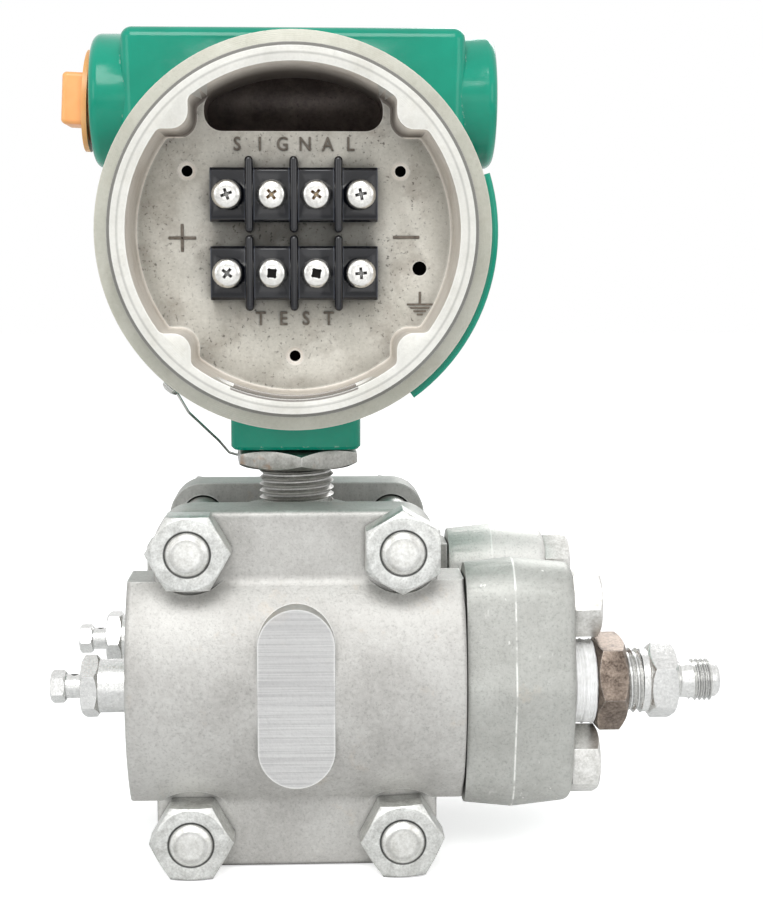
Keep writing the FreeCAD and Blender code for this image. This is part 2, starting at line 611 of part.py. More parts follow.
def terminal_cavity():
    """Tool for the terminal compartment: a cross with round ends, leaving four corner lands."""
    length = NOSE_Y - FLOOR_Y
    start = at_housing(0, 0, -NOSE_Y)
    big = CAVITY_R + 1
    cross = box(-CROSS_HALF_X, CROSS_HALF_X, -NOSE_Y, -FLOOR_Y, HOUSING_Z - big, HOUSING_Z + big)
    cross = cross.fuse(box(-big, big, -NOSE_Y, -FLOOR_Y, HOUSING_Z - CROSS_HALF_Z, HOUSING_Z + CROSS_HALF_Z))
    tool = cylinder(CAVITY_R, start, Y, length).common(cross.removeSplitter())
    lands = edges_along(tool, Y, lambda m: math.hypot(m.x, m.z - HOUSING_Z) < CAVITY_R - 2)
    tool = tool.makeFillet(4.2, lands)
    tips = edges_along(tool, Y, lambda m: abs(math.hypot(m.x, m.z - HOUSING_Z) - CAVITY_R) < 0.05)
    tool = tool.makeFillet(2.0, tips)
    floor_edges = [e for e in tool.Edges if abs(e.CenterOfMass.y + FLOOR_Y) < 0.01]
    return tool.makeFillet(1.1, floor_edges)


def conduit_pocket():
    """Tool for the opening from the terminal compartment up into the conduit passage."""
    tool = box(-OPENING_HALF_X, OPENING_HALF_X, -FLOOR_Y - 2, POCKET_Y,
               HOUSING_Z + OPENING_DZ, HOUSING_Z + CAVITY_R + 5)
    tool = tool.common(cylinder(CAVITY_R, at_housing(0, 0, -NOSE_Y), Y, NOSE_Y + POCKET_Y))
    return tool.makeFillet(4.5, edges_along(tool, Y))


def drain_slot():
    """Tool for the shallow round-ended slot along the lowest part of the terminal cavity's wall."""
    from_deg, to_deg = -90 - DRAIN_HALF_ANGLE, -90 + DRAIN_HALF_ANGLE
    slot = ring_sector(CAVITY_R - 1, CAVITY_R + DRAIN_DEPTH, DRAIN_FROM_Y, DRAIN_TO_Y, from_deg, to_deg)
    middle_y = (DRAIN_FROM_Y + DRAIN_TO_Y) / 2
    for x, dz in on_circle(1.0, (from_deg, to_deg)):
        outward = Vector(x, 0, dz)
        start = at_housing(0, 0, middle_y) + outward * (CAVITY_R - 1)
        slot = slot.fuse(cylinder((DRAIN_TO_Y - DRAIN_FROM_Y) / 2, start, outward, DRAIN_DEPTH + 1))
    return slot


def housing_outside():
    body = cylinder(BODY_R, at_housing(0, 0, -BODY_HALF_L), Y, 2 * BODY_HALF_L)
    nose_l = NOSE_Y - BODY_HALF_L
    nose = [(0, 0), (0, NOSE_R - 0.9), (0.9, NOSE_R), (NOSE_THREAD_L, NOSE_R),
            (NOSE_THREAD_L, NOSE_R - NOSE_GROOVE), (nose_l, NOSE_R - NOSE_GROOVE), (nose_l, 0)]
    noses = [turned(nose, at_housing(0, 0, side * NOSE_Y), Y * -side) for side in SIDES.values()]

    block_top = HOUSING_Z + CONDUIT_DZ + CONDUIT_BOSS_R
    block = box(-BLOCK_HALF_X, BLOCK_HALF_X, -BLOCK_HALF_Y, BLOCK_HALF_Y, HOUSING_Z, block_top)
    rounded = edges_along(block, Z) + [e for e in block.Edges if abs(e.CenterOfMass.z - block_top) < 0.01]
    block = block.makeFillet(3.0, rounded)

    boss = cylinder(CONDUIT_BOSS_R, at_housing(-CONDUIT_END_X, CONDUIT_DZ, 0), X, 2 * CONDUIT_END_X)
    boss = boss.makeFillet(2.5, [e for e in boss.Edges if isinstance(e.Curve, Part.Circle)])

    collar = box(-COLLAR_HALF, COLLAR_HALF, -COLLAR_HALF, COLLAR_HALF, COLLAR_Z, HOUSING_Z)
    collar = collar.makeFillet(3.2, edges_along(collar, Z))
    foot = [e for e in collar.Edges if abs(e.CenterOfMass.z - COLLAR_Z) < 0.01]
    collar = collar.makeChamfer(0.8, foot)

    pad = ring_sector(BODY_R - 4, PAD_R, -PAD_HALF_L, PAD_HALF_L, PAD_FROM, PAD_TO)
    pad_rims = [e for e in pad.Edges if isinstance(e.Curve, Part.Circle)
                and math.hypot(e.CenterOfMass.x, e.CenterOfMass.z - HOUSING_Z) > BODY_R - 1
                and abs(abs(e.CenterOfMass.y) - PAD_HALF_L) < 0.01]
    pad = pad.makeFillet(1.2, pad_rims)
    return body.fuse(noses + [block, boss, collar, pad]).removeSplitter()


def housing_casting():
    body = housing_outside()
    body = body.cut(terminal_cavity()).cut(conduit_pocket()).cut(drain_slot())
    # electronics compartment: full circle at the mouth, flat-topped under the conduit passage
    step_y = ELECTRONICS_STEP_Y
    body = body.cut(cylinder(CAVITY_R, at_housing(0, 0, step_y), Y, NOSE_Y - step_y + 1))
    deep = cylinder(CAVITY_R, at_housing(0, 0, WALL_THICK - FLOOR_Y), Y, step_y + FLOOR_Y - WALL_THICK)
    deep = deep.cut(box(-BODY_R, BODY_R, -FLOOR_Y, step_y + 1, HOUSING_Z + ELECTRONICS_FLAT_DZ, HOUSING_Z + BODY_R))
    body = body.cut(deep)
    # conduit entries and the passage between them
    for end in (-1, 1):
        mouth = at_housing(end * CONDUIT_END_X, CONDUIT_DZ, 0)
        body = body.cut(cylinder(CONDUIT_ENTRY_R, mouth, X * -end, CONDUIT_ENTRY_L))
    body = body.cut(cylinder(CONDUIT_PASSAGE_R, at_housing(-CONDUIT_END_X, CONDUIT_DZ, 0), X, 2 * CONDUIT_END_X))
    # neck bore through the collar
    body = body.cut(cylinder(NECK_R + RUNNING_FIT, Vector(0, 0, COLLAR_Z - 1), Z, NECK_TOP_Z - COLLAR_Z + 10))
    # tapped holes with countersunk mouths in the compartment floor
    hole_l = 5.5
    for x, dz in on_circle(FLOOR_HOLE_CIRCLE_R, FLOOR_HOLE_ANGLES):
        body = body.cut(cylinder(FLOOR_HOLE_R, at_housing(x, dz, -FLOOR_Y - 1), Y, hole_l))
        body = body.cut(cylinder(FLOOR_HOLE_MOUTH_R, at_housing(x, dz, -FLOOR_Y - 1), Y, 1.5))
    body = body.cut(cylinder(GROUND_HOLE_R, at_housing(*GROUND_HOLE, -FLOOR_Y - 1), Y, hole_l))
    # feedthrough holes behind the terminal strips
    for x, dz in feedthrough_places():
        body = body.cut(cylinder(FEEDTHROUGH_R, at_housing(x, dz, -FLOOR_Y - 1), Y, WALL_THICK + 2))
    return body


def feedthrough_places():
    return [(x, dz) for dz in (SIGNAL_DZ, TEST_DZ) for x in (-POLE_PITCH * 1.5, POLE_PITCH * 1.5)]


def terminal_feedthroughs():
    """Glass-sealed pins that carry the loop current through the wall."""
    pins = []
    for x, dz in feedthrough_places():
        seal = cylinder(FEEDTHROUGH_R, at_housing(x, dz, -FLOOR_Y), Y, WALL_THICK)
        pin = cylinder(FEEDTHROUGH_PIN_R, at_housing(x, dz, -FLOOR_Y), Y, WALL_THICK + 6)
        pins.append(seal.fuse(pin).removeSplitter())
    return Part.makeCompound(pins)


# ---------------------------------------------------------------- terminal strips
def strip_screw_x():
    return [POLE_PITCH * k for k in (-1.5, -0.5, 0.5, 1.5)]


def terminal_strip(dz):
    floor = -FLOOR_Y
    body = box(-STRIP_W / 2, STRIP_W / 2, floor - STRIP_DEPTH, floor,
               HOUSING_Z + dz - STRIP_H / 2, HOUSING_Z + dz + STRIP_H / 2)
    front = [e for e in edges_along(body, X) if abs(e.CenterOfMass.y - floor + STRIP_DEPTH) < 0.01]
    body = body.makeChamfer(0.7, front)
    for k in (-1, 0, 1):
        wall = obround(BARRIER_W, BARRIER_H, k * POLE_PITCH, HOUSING_Z + dz, floor - BARRIER_DEPTH, floor)
        crest = [e for e in wall.Edges if abs(e.CenterOfMass.y - floor + BARRIER_DEPTH) < 0.01]
        body = body.fuse(wall.makeFillet(BARRIER_CREST_R, crest))
    body = body.removeSplitter()
    for x in strip_screw_x():
        body = body.cut(cylinder(SCREW_SHANK_R, at_housing(x, dz, floor - STRIP_DEPTH - 1), Y, STRIP_DEPTH))
    return body


def terminal_screw(x, dz, lift):
    """Pan head screw; lift is how far its head stands off the strip."""
    seat = -FLOOR_Y - STRIP_DEPTH
    head_h = SCREW_HEAD_H
    head = [(0, 0), (0, SCREW_HEAD_R - 0.1), (0.5, SCREW_HEAD_R), (head_h - 1.1, SCREW_HEAD_R - 0.15),
            (head_h - 0.4, SCREW_HEAD_R - 1.0), (head_h, SCREW_HEAD_R - 2.3), (head_h, 0)]
    solid = turned(head, at_housing(x, dz, seat - lift), -Y)
    shank = cylinder(SCREW_SHANK_R, at_housing(x, dz, seat - lift), Y, SCREW_SHANK_L + lift)
    return solid.fuse(shank).removeSplitter()


def terminal_screws(dz):
    return Part.makeCompound([terminal_screw(x, dz, lift) for x, lift in zip(strip_screw_x(), SCREW_LIFTS)])


# ---------------------------------------------------------------- conduit plug
def conduit_plug():
    """Moulded protective plug with a flat pull grip, seated a little askew in the left entry."""
    plug = turned([(0, 0), (0, PLUG_FLANGE_R), (PLUG_FLANGE_T, PLUG_FLANGE_R), (PLUG_FLANGE_T, 0)], ORIGIN, -X)
    plug = plug.fuse(turned([(0, 0), (0, PLUG_SHANK_R), (PLUG_SHANK_L - 1, PLUG_SHANK_R - 0.3),
                             (PLUG_SHANK_L, PLUG_SHANK_R - 1.2), (PLUG_SHANK_L, 0)], ORIGIN, X))
    plug = plug.cut(cylinder(PLUG_SHANK_R - PLUG_WALL, Vector(0.6, 0, 0), X, PLUG_SHANK_L))
    grip = box(-PLUG_GRIP_X, -PLUG_FLANGE_T + 0.01, -PLUG_GRIP_HALF_Y, PLUG_GRIP_HALF_Y,
               -PLUG_GRIP_HALF_Z, PLUG_GRIP_HALF_Z)
    outer = [e for e in grip.Edges if abs(e.CenterOfMass.x + PLUG_GRIP_X) < 0.01]
    grip = grip.makeFillet(1.2, outer + edges_along(grip, X))
    plug = plug.fuse(grip).removeSplitter()
    plug.rotate(Vector(0, 0, PLUG_FLANGE_R), Y, PLUG_TILT)
    plug.translate(at_housing(-CONDUIT_END_X, CONDUIT_DZ, 0))
    return plug


# ---------------------------------------------------------------- rear cover and electronics
def rear_cover():
    """Screw cap with a ribbed rim, open towards the housing."""
    depth = COVER_END_Y - COVER_Y
    inner_y = NOSE_Y - COVER_Y + 0.5
    cap = turned([(0, NOSE_R + 0.4), (0, COVER_R - 0.6), (0.6, COVER_R), (depth - 3, COVER_R),
                  (depth - 0.9, COVER_R - 0.9), (depth, COVER_R - 3), (depth, 0), (depth - COVER_WALL, 0),
                  (depth - COVER_WALL, CAVITY_R), (inner_y, CAVITY_R), (inner_y, NOSE_R + 0.4)],
                 at_housing(0, 0, COVER_Y), Y)
    groove_r, smooth_rim = 3.2, 4.0
    for x, dz in on_circle(COVER_R + 2.0, [360 / COVER_RIBS * k for k in range(COVER_RIBS)]):
        cap = cap.cut(cylinder(groove_r, at_housing(x, dz, COVER_Y + smooth_rim), Y, depth))
    return cap


def rear_cover_seal():
    return turned([(0, NOSE_R - 1.2), (0, NOSE_R + 1.6), (SEAL_THICK, NOSE_R + 1.6), (SEAL_THICK, NOSE_R - 1.2)],
                  at_housing(0, 0, BODY_HALF_L), Y)


def post_places():
    return on_circle(POST_CIRCLE_R, FLOOR_HOLE_ANGLES)


def circuit_board(y):
    board = cylinder(BOARD_R, at_housing(0, 0, y), Y, BOARD_T)
    for x, dz in post_places():
        board = board.cut(cylinder(BOARD_HOLE_R, at_housing(x, dz, y - 1), Y, BOARD_T + 2))
    return board


def board_posts():
    """Hex standoffs from the wall to the inner board, and spacers from there to the outer one."""
    pieces = []
    wall_y = WALL_THICK - FLOOR_Y
    for x, dz in post_places():
        pieces.append(hexagon(POST_AF, at_housing(x, dz, wall_y), Y, AMPLIFIER_Y - wall_y, chamfer=0.3))
        inner = AMPLIFIER_Y + BOARD_T
        pieces.append(hexagon(POST_AF, at_housing(x, dz, inner), Y, CALIBRATION_Y - inner, chamfer=0.3))
    return Part.makeCompound(pieces)


def board_screws():
    pieces = []
    for x, dz in post_places():
        top = CALIBRATION_Y + BOARD_T
        pieces.append(turned([(0, 0), (0, 2.8), (1.2, 2.6), (2.0, 1.4), (2.0, 0)], at_housing(x, dz, top), Y))
    return Part.makeCompound(pieces)


def board_components():
    """The larger parts soldered to the two boards."""
    inner, outer = AMPLIFIER_Y + BOARD_T, CALIBRATION_Y + BOARD_T
    pieces = [box(-12, 12, inner, inner + 8, HOUSING_Z - 2, HOUSING_Z + 16),
              cylinder(4.0, at_housing(20, -10, inner), Y, 9.5),
              cylinder(4.0, at_housing(-20, -10, inner), Y, 9.5),
              cylinder(5.5, at_housing(0, -18, inner), Y, 8.0)]
    for x in (-14, 14):
        pot = box(x - 4.5, x + 4.5, outer, outer + 5.5, HOUSING_Z + 12, HOUSING_Z + 21)
        pieces.append(pot.fuse(cylinder(2.0, at_housing(x, 16.5, outer + 5.5), Y, 1.2)).removeSplitter())
    pieces.append(box(-13, 13, outer, outer + 6, HOUSING_Z - 20, HOUSING_Z - 13))
    for x in (-18, -9, 0, 9, 18):
        pieces.append(cylinder(2.3, at_housing(x, -2, outer), Y, 4.0))
    return Part.makeCompound(pieces)


# ---------------------------------------------------------------- tag wire
def wire_centreline(points, bend_r):
    """Straight runs joined by tangent arcs of one bend radius."""
    edges = []
    last = points[0]
    for before, corner, after in zip(points, points[1:], points[2:]):
        into, out = (before - corner).normalize(), (after - corner).normalize()
        half = into.getAngle(out) / 2
        reach = bend_r / math.tan(half)
        start, end = corner + into * reach, corner + out * reach
        towards = (into + out).normalize()
        middle = corner + towards * (bend_r / math.sin(half) - bend_r)
        edges.append(Part.makeLine(last, start))
        edges.append(Part.Arc(start, middle, end).toShape())
        last = end
    edges.append(Part.makeLine(last, points[-1]))
    return Part.Wire(edges)


def tag_screw_place(radius):
    angle = math.radians(TAG_SCREW_ANGLE)
    return at_housing(radius * math.cos(angle), radius * math.sin(angle), TAG_SCREW_Y)


def tag_wire():
    """Bare wire that held a tag: fixed by its screw, then down past the collar and round behind it."""
    points = [tag_screw_place(BODY_R + 0.9)]
    for x, y, above_collar in ((-27.6, -20.0, 10.4), (-20.6, -6.0, 1.4), (-18.6, 8.0, -3.4), (-13.5, 19.5, -6.4),
                               (2.0, 20.5, -5.2), (9.0, 19.5, -2.2)):
        points.append(Vector(x, y, COLLAR_Z + above_collar))
    path = wire_centreline(points, WIRE_BEND_R)
    section = Part.Wire(Part.makeCircle(WIRE_R, points[0], points[1] - points[0]))
    return path.makePipeShell([section], True, False)


def tag_screw():
    """Drive screw on the lower left of the housing that traps the wire's end under its head."""
    angle = math.radians(TAG_SCREW_ANGLE)
    outward = Vector(math.cos(angle), 0, math.sin(angle))
    return turned([(0, 0), (0, 1.1), (1.35, 1.1), (1.35, 2.4), (2.2, 2.1), (2.6, 1.2), (2.6, 0)],
                  tag_screw_place(BODY_R - 0.05) + Vector(0, -1.5, 0), outward)


# ---------------------------------------------------------------- all nodes
def all_parts():
    front = front_flange()
    parts = {
        "front_process_flange": front,
        "rear_process_flange": mirrored(front),
        "sensor_module": sensor_module(),
        "threaded_neck": threaded_neck(),
        "sensing_diaphragm": sensing_diaphragm(),
        "flange_bolts": flange_bolts(),
        "flange_nuts": flange_nuts(),
        "adapter_bolts": adapter_bolts(),
        "thread_seal_tape": thread_seal_tape(),
        "reducer_bushing": reducer_bushing(),
        "tube_connector": tube_connector(),
        "lock_nut": lock_nut(),
        "housing_casting": housing_casting(),
        "terminal_feedthroughs": terminal_feedthroughs(),
        "signal_terminal_strip": terminal_strip(SIGNAL_DZ),
        "test_terminal_strip": terminal_strip(TEST_DZ),
        "signal_terminal_screws": terminal_screws(SIGNAL_DZ),
        "test_terminal_screws": terminal_screws(TEST_DZ),
        "conduit_plug": conduit_plug(),
        "rear_cover": rear_cover(),
        "rear_cover_seal": rear_cover_seal(),
        "amplifier_board": circuit_board(AMPLIFIER_Y),
        "calibration_board": circuit_board(CALIBRATION_Y),
        "board_posts": board_posts(),
        "board_screws": board_screws(),
        "board_components": board_components(),
        "tag_wire": tag_wire(),
        "tag_screw": tag_screw(),
    }
    vent_turns = {"front": 0.0, "rear": 30.0}
    stem_turns = {"front": 12.0, "rear": 25.0}
    for name, side in SIDES.items():
        parts[name + "_cell_half"] = cell_half(side)
        parts[name + "_isolating_diaphragm"] = isolating_diaphragm(side)
        parts[name + "_flange_gasket"] = flange_gasket(side)
        parts[name + "_flange_adapter"] = adapter(side)
        parts[name + "_adapter_gasket"] = adapter_gasket(side)
        parts[name + "_vent_body"] = vent_body(side, vent_turns[name])
        parts[name + "_vent_stem"] = vent_stem(side, stem_turns[name])
    return parts


os.makedirs("parts", exist_ok=True)
for node, shape in all_parts().items():
    if not shape.isValid() or shape.Volume <= 0:
        print("check the shape of", node, shape.isValid(), round(shape.Volume, 1))
    shape.exportStep("parts/" + node + ".step")
    print(f"{node}: {len(shape.Solids)} solid(s), {shape.Volume / 1000:.2f} cm3, {len(shape.Faces)} faces")
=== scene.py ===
# %% [markdown]
# # Differential pressure transmitter
# The metal parts of this instrument come in ready, as solids that already sit where they belong.
# This notebook gives each of them its finish, adds the threads, marks and screw recesses that the
# solids leave out, and sets up the camera, the table and the light.

# %% Load the assembly
import json
import math

import bmesh
import bpy
from mathutils import Matrix, Vector

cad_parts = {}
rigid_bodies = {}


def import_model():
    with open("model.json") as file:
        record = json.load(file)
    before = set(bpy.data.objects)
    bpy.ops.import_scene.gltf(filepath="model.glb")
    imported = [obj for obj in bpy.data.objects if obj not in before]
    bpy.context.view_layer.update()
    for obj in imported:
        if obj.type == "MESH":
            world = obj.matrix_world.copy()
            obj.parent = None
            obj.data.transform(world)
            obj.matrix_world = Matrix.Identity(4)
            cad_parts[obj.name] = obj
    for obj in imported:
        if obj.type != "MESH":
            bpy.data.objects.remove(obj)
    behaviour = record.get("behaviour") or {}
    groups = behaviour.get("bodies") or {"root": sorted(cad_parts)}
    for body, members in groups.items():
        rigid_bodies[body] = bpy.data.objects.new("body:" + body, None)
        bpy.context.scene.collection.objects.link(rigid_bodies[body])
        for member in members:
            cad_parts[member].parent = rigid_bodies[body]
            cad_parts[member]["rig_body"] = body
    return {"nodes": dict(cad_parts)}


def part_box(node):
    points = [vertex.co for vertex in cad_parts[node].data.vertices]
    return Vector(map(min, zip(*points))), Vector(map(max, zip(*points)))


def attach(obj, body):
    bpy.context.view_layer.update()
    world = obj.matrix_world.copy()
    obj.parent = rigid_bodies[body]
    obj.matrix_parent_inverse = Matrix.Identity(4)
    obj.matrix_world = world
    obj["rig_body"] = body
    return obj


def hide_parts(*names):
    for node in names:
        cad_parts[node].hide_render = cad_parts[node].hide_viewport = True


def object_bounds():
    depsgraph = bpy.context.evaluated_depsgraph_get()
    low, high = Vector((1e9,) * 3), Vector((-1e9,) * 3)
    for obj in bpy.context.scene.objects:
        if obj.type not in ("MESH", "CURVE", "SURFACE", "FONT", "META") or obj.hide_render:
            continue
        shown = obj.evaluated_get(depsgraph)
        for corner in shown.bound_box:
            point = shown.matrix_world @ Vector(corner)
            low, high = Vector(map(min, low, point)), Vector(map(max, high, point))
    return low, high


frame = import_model()
nodes = frame["nodes"]
solid_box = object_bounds()
bpy.ops.object.select_all(action="DESELECT")
print("solid parts:", len(nodes))

# %% [markdown]
# ## Where things are
# Every place below comes from the solids' own boxes, so a piece that is added follows them when
# they change. Five places are used again and again: the height of the process ports and how far
# they stand from the middle, the axis of the round housing, the floor of its terminal compartment
# and the rim of that compartment.

# %% Read the main places
MM = 0.001
flange_low, flange_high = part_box("front_process_flange")
process_z = (flange_low.z + flange_high.z) / 2
cover_low, cover_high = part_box("rear_cover")
housing_z = (cover_low.z + cover_high.z) / 2
floor_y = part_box("signal_terminal_strip")[1].y
nose_y = abs(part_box("housing_casting")[0].y)
port_y = sum(corner.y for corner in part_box("front_vent_stem")) / 2
print("process axis", round(process_z, 4), "housing axis", round(housing_z, 4), "rim", round(nose_y, 4))

# %% [markdown]
# ## The camera
# The instrument is seen from the terminal side, from a little above the middle of the housing, so
# that the camera looks down on the flanges. A lens of about 66 mm at under half a metre gives the
# strong perspective that makes the front nuts look larger than the rear ones.

# %% Place the camera
camera_data = bpy.data.cameras.new("view")
camera_data.sensor_fit = "VERTICAL"
camera_data.sensor_height = 36.0
camera_data.lens = 66.05
camera = bpy.data.objects.new("view", camera_data)
camera.location = (0.00395, -0.4461, process_z + 0.10951)
camera.rotation_euler = (math.radians(83.39), 0.0, math.radians(-2.46))
bpy.context.scene.collection.objects.link(camera)
bpy.context.scene.camera = camera
bpy.context.scene.view_settings.view_transform = "Standard"
print("camera stands", round(camera.location.z, 3), "m high")

# %% [markdown]
# ## Colours
# Colours are easiest to judge as they look on a screen, so they are written as red, green and blue
# from 0 to 255. Blender's shaders work with light, which is not the same scale, so one small
# function turns screen values into light values wherever a colour goes into a shader.

# %% Screen colour to light
def screen(red, green, blue):
    """Light values of a colour given as it looks on a screen, 0 to 255."""
    def light(value):
        value = value / 255
        return value / 12.92 if value <= 0.04045 else ((value + 0.055) / 1.055) ** 2.4
    return (light(red), light(green), light(blue), 1.0)


print("mid grey", [round(c, 3) for c in screen(128, 128, 128)])

# %% [markdown]
# ## Nodes in one call
# A shader is a tree of nodes, and adding one by hand takes many clicks: make it, type its values,
# draw its links. These small functions do that in one call. An input is named as Blender names it,
# with _ for a blank, or by its number as in _0, and it gets either a value or another node's output.

# %% Node helpers
def feed(made, **sockets):
    """Give a node's inputs a value or a link each."""
    for name, value in sockets.items():
        socket = made.inputs[int(name[1:]) if name[0] == "_" else name.replace("_", " ")]
        if isinstance(value, bpy.types.NodeSocket):
            made.id_data.links.new(value, socket)
        else:
            socket.default_value = value
    return made


def add_node(tree, kind, **sockets):
    return feed(tree.nodes.new("ShaderNode" + kind), **sockets)


def bare_tree(owner, kind):
    """The emptied node tree of a world or a material, and its output node."""
    owner.use_nodes = True
    owner.node_tree.nodes.clear()
    return owner.node_tree, add_node(owner.node_tree, "Output" + kind)


print("node helpers ready")

# %% [markdown]
# ## The light all round
# A small metal object looks best in a tent of white cloth: light comes from all around, the metal
# reflects white, and the table melts into the background. The world gives that even light. A ray
# that goes to the camera, mirrors in metal or passes through something clear meets white instead.

# %% World light
AMBIENT = 0.52
world = bpy.data.worlds.new("light_tent")
bpy.context.scene.world = world
tree, output = bare_tree(world, "World")
ray = add_node(tree, "LightPath").outputs
seen = add_node(tree, "Math", _0=ray["Is Camera Ray"], _1=ray["Is Glossy Ray"])
seen_too = add_node(tree, "Math", _0=seen.outputs[0], _1=ray["Is Transmission Ray"])
seen.operation = seen_too.operation = "MAXIMUM"
ambient = add_node(tree, "Background", Color=(0.97, 0.985, 1.0, 1.0), Strength=AMBIENT)
backdrop = add_node(tree, "Background", Color=(1.0, 1.0, 1.0, 1.0), Strength=1.0)
feed(output, Surface=add_node(tree, "MixShader", _0=seen_too.outputs[0], _1=ambient.outputs[0],
                              _2=backdrop.outputs[0]).outputs[0])
print("world light", AMBIENT)

# %% [markdown]
# ## The lamps
# Even light alone leaves metal flat, so five large soft lamps stand round the instrument: a strong
# one above the front, weak ones at the left, the right and low in front, and one behind for the
# edges. An area lamp as wide as the instrument gives soft borders, and each is turned to the middle
# of the instrument by aiming its own -Z axis there.

# %% Lamps
AIM_AT, LAMP_SIZE = (0.0, 0.0, 0.11), 0.5
for side, place, power in (("above", (-0.05, -0.66, 0.76), 4.4), ("left", (-0.85, -0.75, 0.45), 1.1),
                           ("right", (0.85, -0.75, 0.40), 1.1), ("low", (0.05, -0.95, 0.10), 0.5),
                           ("behind", (0.35, 0.85, 0.75), 4.0)):
    data = bpy.data.lights.new("lamp_" + side, "AREA")
    data.shape = "SQUARE"
    data.size = LAMP_SIZE
    data.energy = power
    lamp = bpy.data.objects.new("lamp_" + side, data)
    lamp.location = place
    lamp.rotation_euler = (Vector(AIM_AT) - Vector(place)).to_track_quat("-Z", "Y").to_euler()
    bpy.context.scene.collection.objects.link(lamp)
print("lamps", len(bpy.data.lights))

# %% [markdown]
# ## The table
# The instrument stands on a plain white sheet. A plane as wide as a table is added at the lowest
# point of the solids. Where the camera sees it, a little glow is added to its colour, so that it
# turns to white and only the soft shadow is left, while the light it throws stays natural.

# %% Table
bpy.ops.mesh.primitive_plane_add(size=6.0, location=(0, 0, solid_box[0][2]))
table = bpy.context.object
table.name = "table"
table_paint = bpy.data.materials.new("white_table")
tree, output = bare_tree(table_paint, "Material")
cloth = add_node(tree, "BsdfDiffuse", Color=(0.9, 0.9, 0.9, 1.0)).outputs[0]
glow = add_node(tree, "Emission", Strength=0.58).outputs[0]
both = add_node(tree, "AddShader", _0=cloth, _1=glow).outputs[0]
ray = add_node(tree, "LightPath").outputs["Is Camera Ray"]
feed(output, Surface=add_node(tree, "MixShader", _0=ray, _1=cloth, _2=both).outputs[0])
table.data.materials.append(table_paint)
bpy.ops.object.select_all(action="DESELECT")
print("table at height", solid_box[0][2])

# %% [markdown]
# ## How a finish is built
# Every finish below is one Principled shader with patterns on its sockets: a colour that wanders
# between two or three near tones, a roughness that wanders with it and a bump for the grain. A class
# keeps the material, its tree and its shader together, so that a finish reads as a list of patterns.

# %% A shader and its sockets
class Shader:
    """A material with one Principled shader."""

    def __init__(self, name, metallic=0.0, roughness=0.5, specular=0.5, coat=0.0):
        self.material = bpy.data.materials.new(name)
        self.material.use_nodes = True
        self.tree = self.material.node_tree
        self.shader = self.tree.nodes["Principled BSDF"]
        for socket, value in (("Metallic", metallic), ("Roughness", roughness), ("Specular IOR Level", specular),
                              ("Coat Weight", coat), ("Coat Roughness", 0.08)):
            self.shader.inputs[socket].default_value = value
        self.place = self.node("TexCoord").outputs["Object"]

    def node(self, kind, **sockets):
        return add_node(self.tree, kind, **sockets)

    def colour(self, socket):
        feed(self.shader, Base_Color=socket)

    def roughness(self, socket, low, high):
        """Roughness between low and high as the factor goes from 0 to 1."""
        made = self.node("MapRange", Value=socket, To_Min=low, To_Max=high)
        feed(self.shader, Roughness=made.outputs["Result"])

    def bump(self, height, strength=0.3, depth=0.0002):
        """Bump from a height pattern; bumps stack on one another."""
        made = self.node("Bump", Strength=strength, Distance=depth, Height=height)
        before = self.shader.inputs["Normal"]
        if before.is_linked:
            feed(made, Normal=before.links[0].from_socket)
        feed(self.shader, Normal=made.outputs["Normal"])


print("shader class ready")

# %% [markdown]
# ## Patterns
# The patterns read object coordinates, in metres, so a noise of scale 1000 has features about a
# millimetre wide. A ramp turns a noise into tones or into spots, and mixing lays one pattern over
# another. A noise that is stretched along one axis looks brushed.

# %% Patterns
class Patterns(Shader):
    """Noises, ramps and mixes."""

    def stretched(self, x=1.0, y=1.0, z=1.0):
        """Object coordinates scaled along each axis, for brushed or cast patterns."""
        return self.node("Mapping", Scale=(x, y, z), Vector=self.place).outputs["Vector"]

    def noise(self, scale, detail=3.0, rough=0.55, where=None):
        return self.node("TexNoise", Scale=scale, Detail=detail, Roughness=rough,
                         Vector=where or self.place).outputs["Fac"]

    def ramp(self, factor, *stops):
        """Colours (or greys) at places along a factor from 0 to 1."""
        made = self.node("ValToRGB", Fac=factor)
        elements = made.color_ramp.elements
        while len(elements) < len(stops):
            elements.new(0.5)
        for element, (place, colour) in zip(elements, stops):
            element.position = place
            element.color = screen(*colour) if isinstance(colour, tuple) else (colour, colour, colour, 1.0)
        return made.outputs["Color"]

    def spots(self, scale, detail, rough, *stops):
        """A noise with a ramp over it, for spots and patches."""
        return self.ramp(self.noise(scale, detail, rough), *stops)

    def two_tone(self, scale, dark, light):
        """A noise that wanders between two near tones."""
        return self.ramp(self.noise(scale), (0.3, dark), (0.7, light))

    def mix(self, factor, first, second, mode="MIX"):
        made = self.node("Mix")
        made.data_type = "RGBA"
        made.blend_type = mode
        first, second = (screen(*tone) if isinstance(tone, tuple) else tone for tone in (first, second))
        return feed(made, _0=factor, _6=first, _7=second).outputs[2]

    def darken(self, colour, shade, share=1.0):
        return self.mix(share, colour, shade, "MULTIPLY")


print("pattern kinds", [name for name in vars(Patterns) if name[0] != "_"])
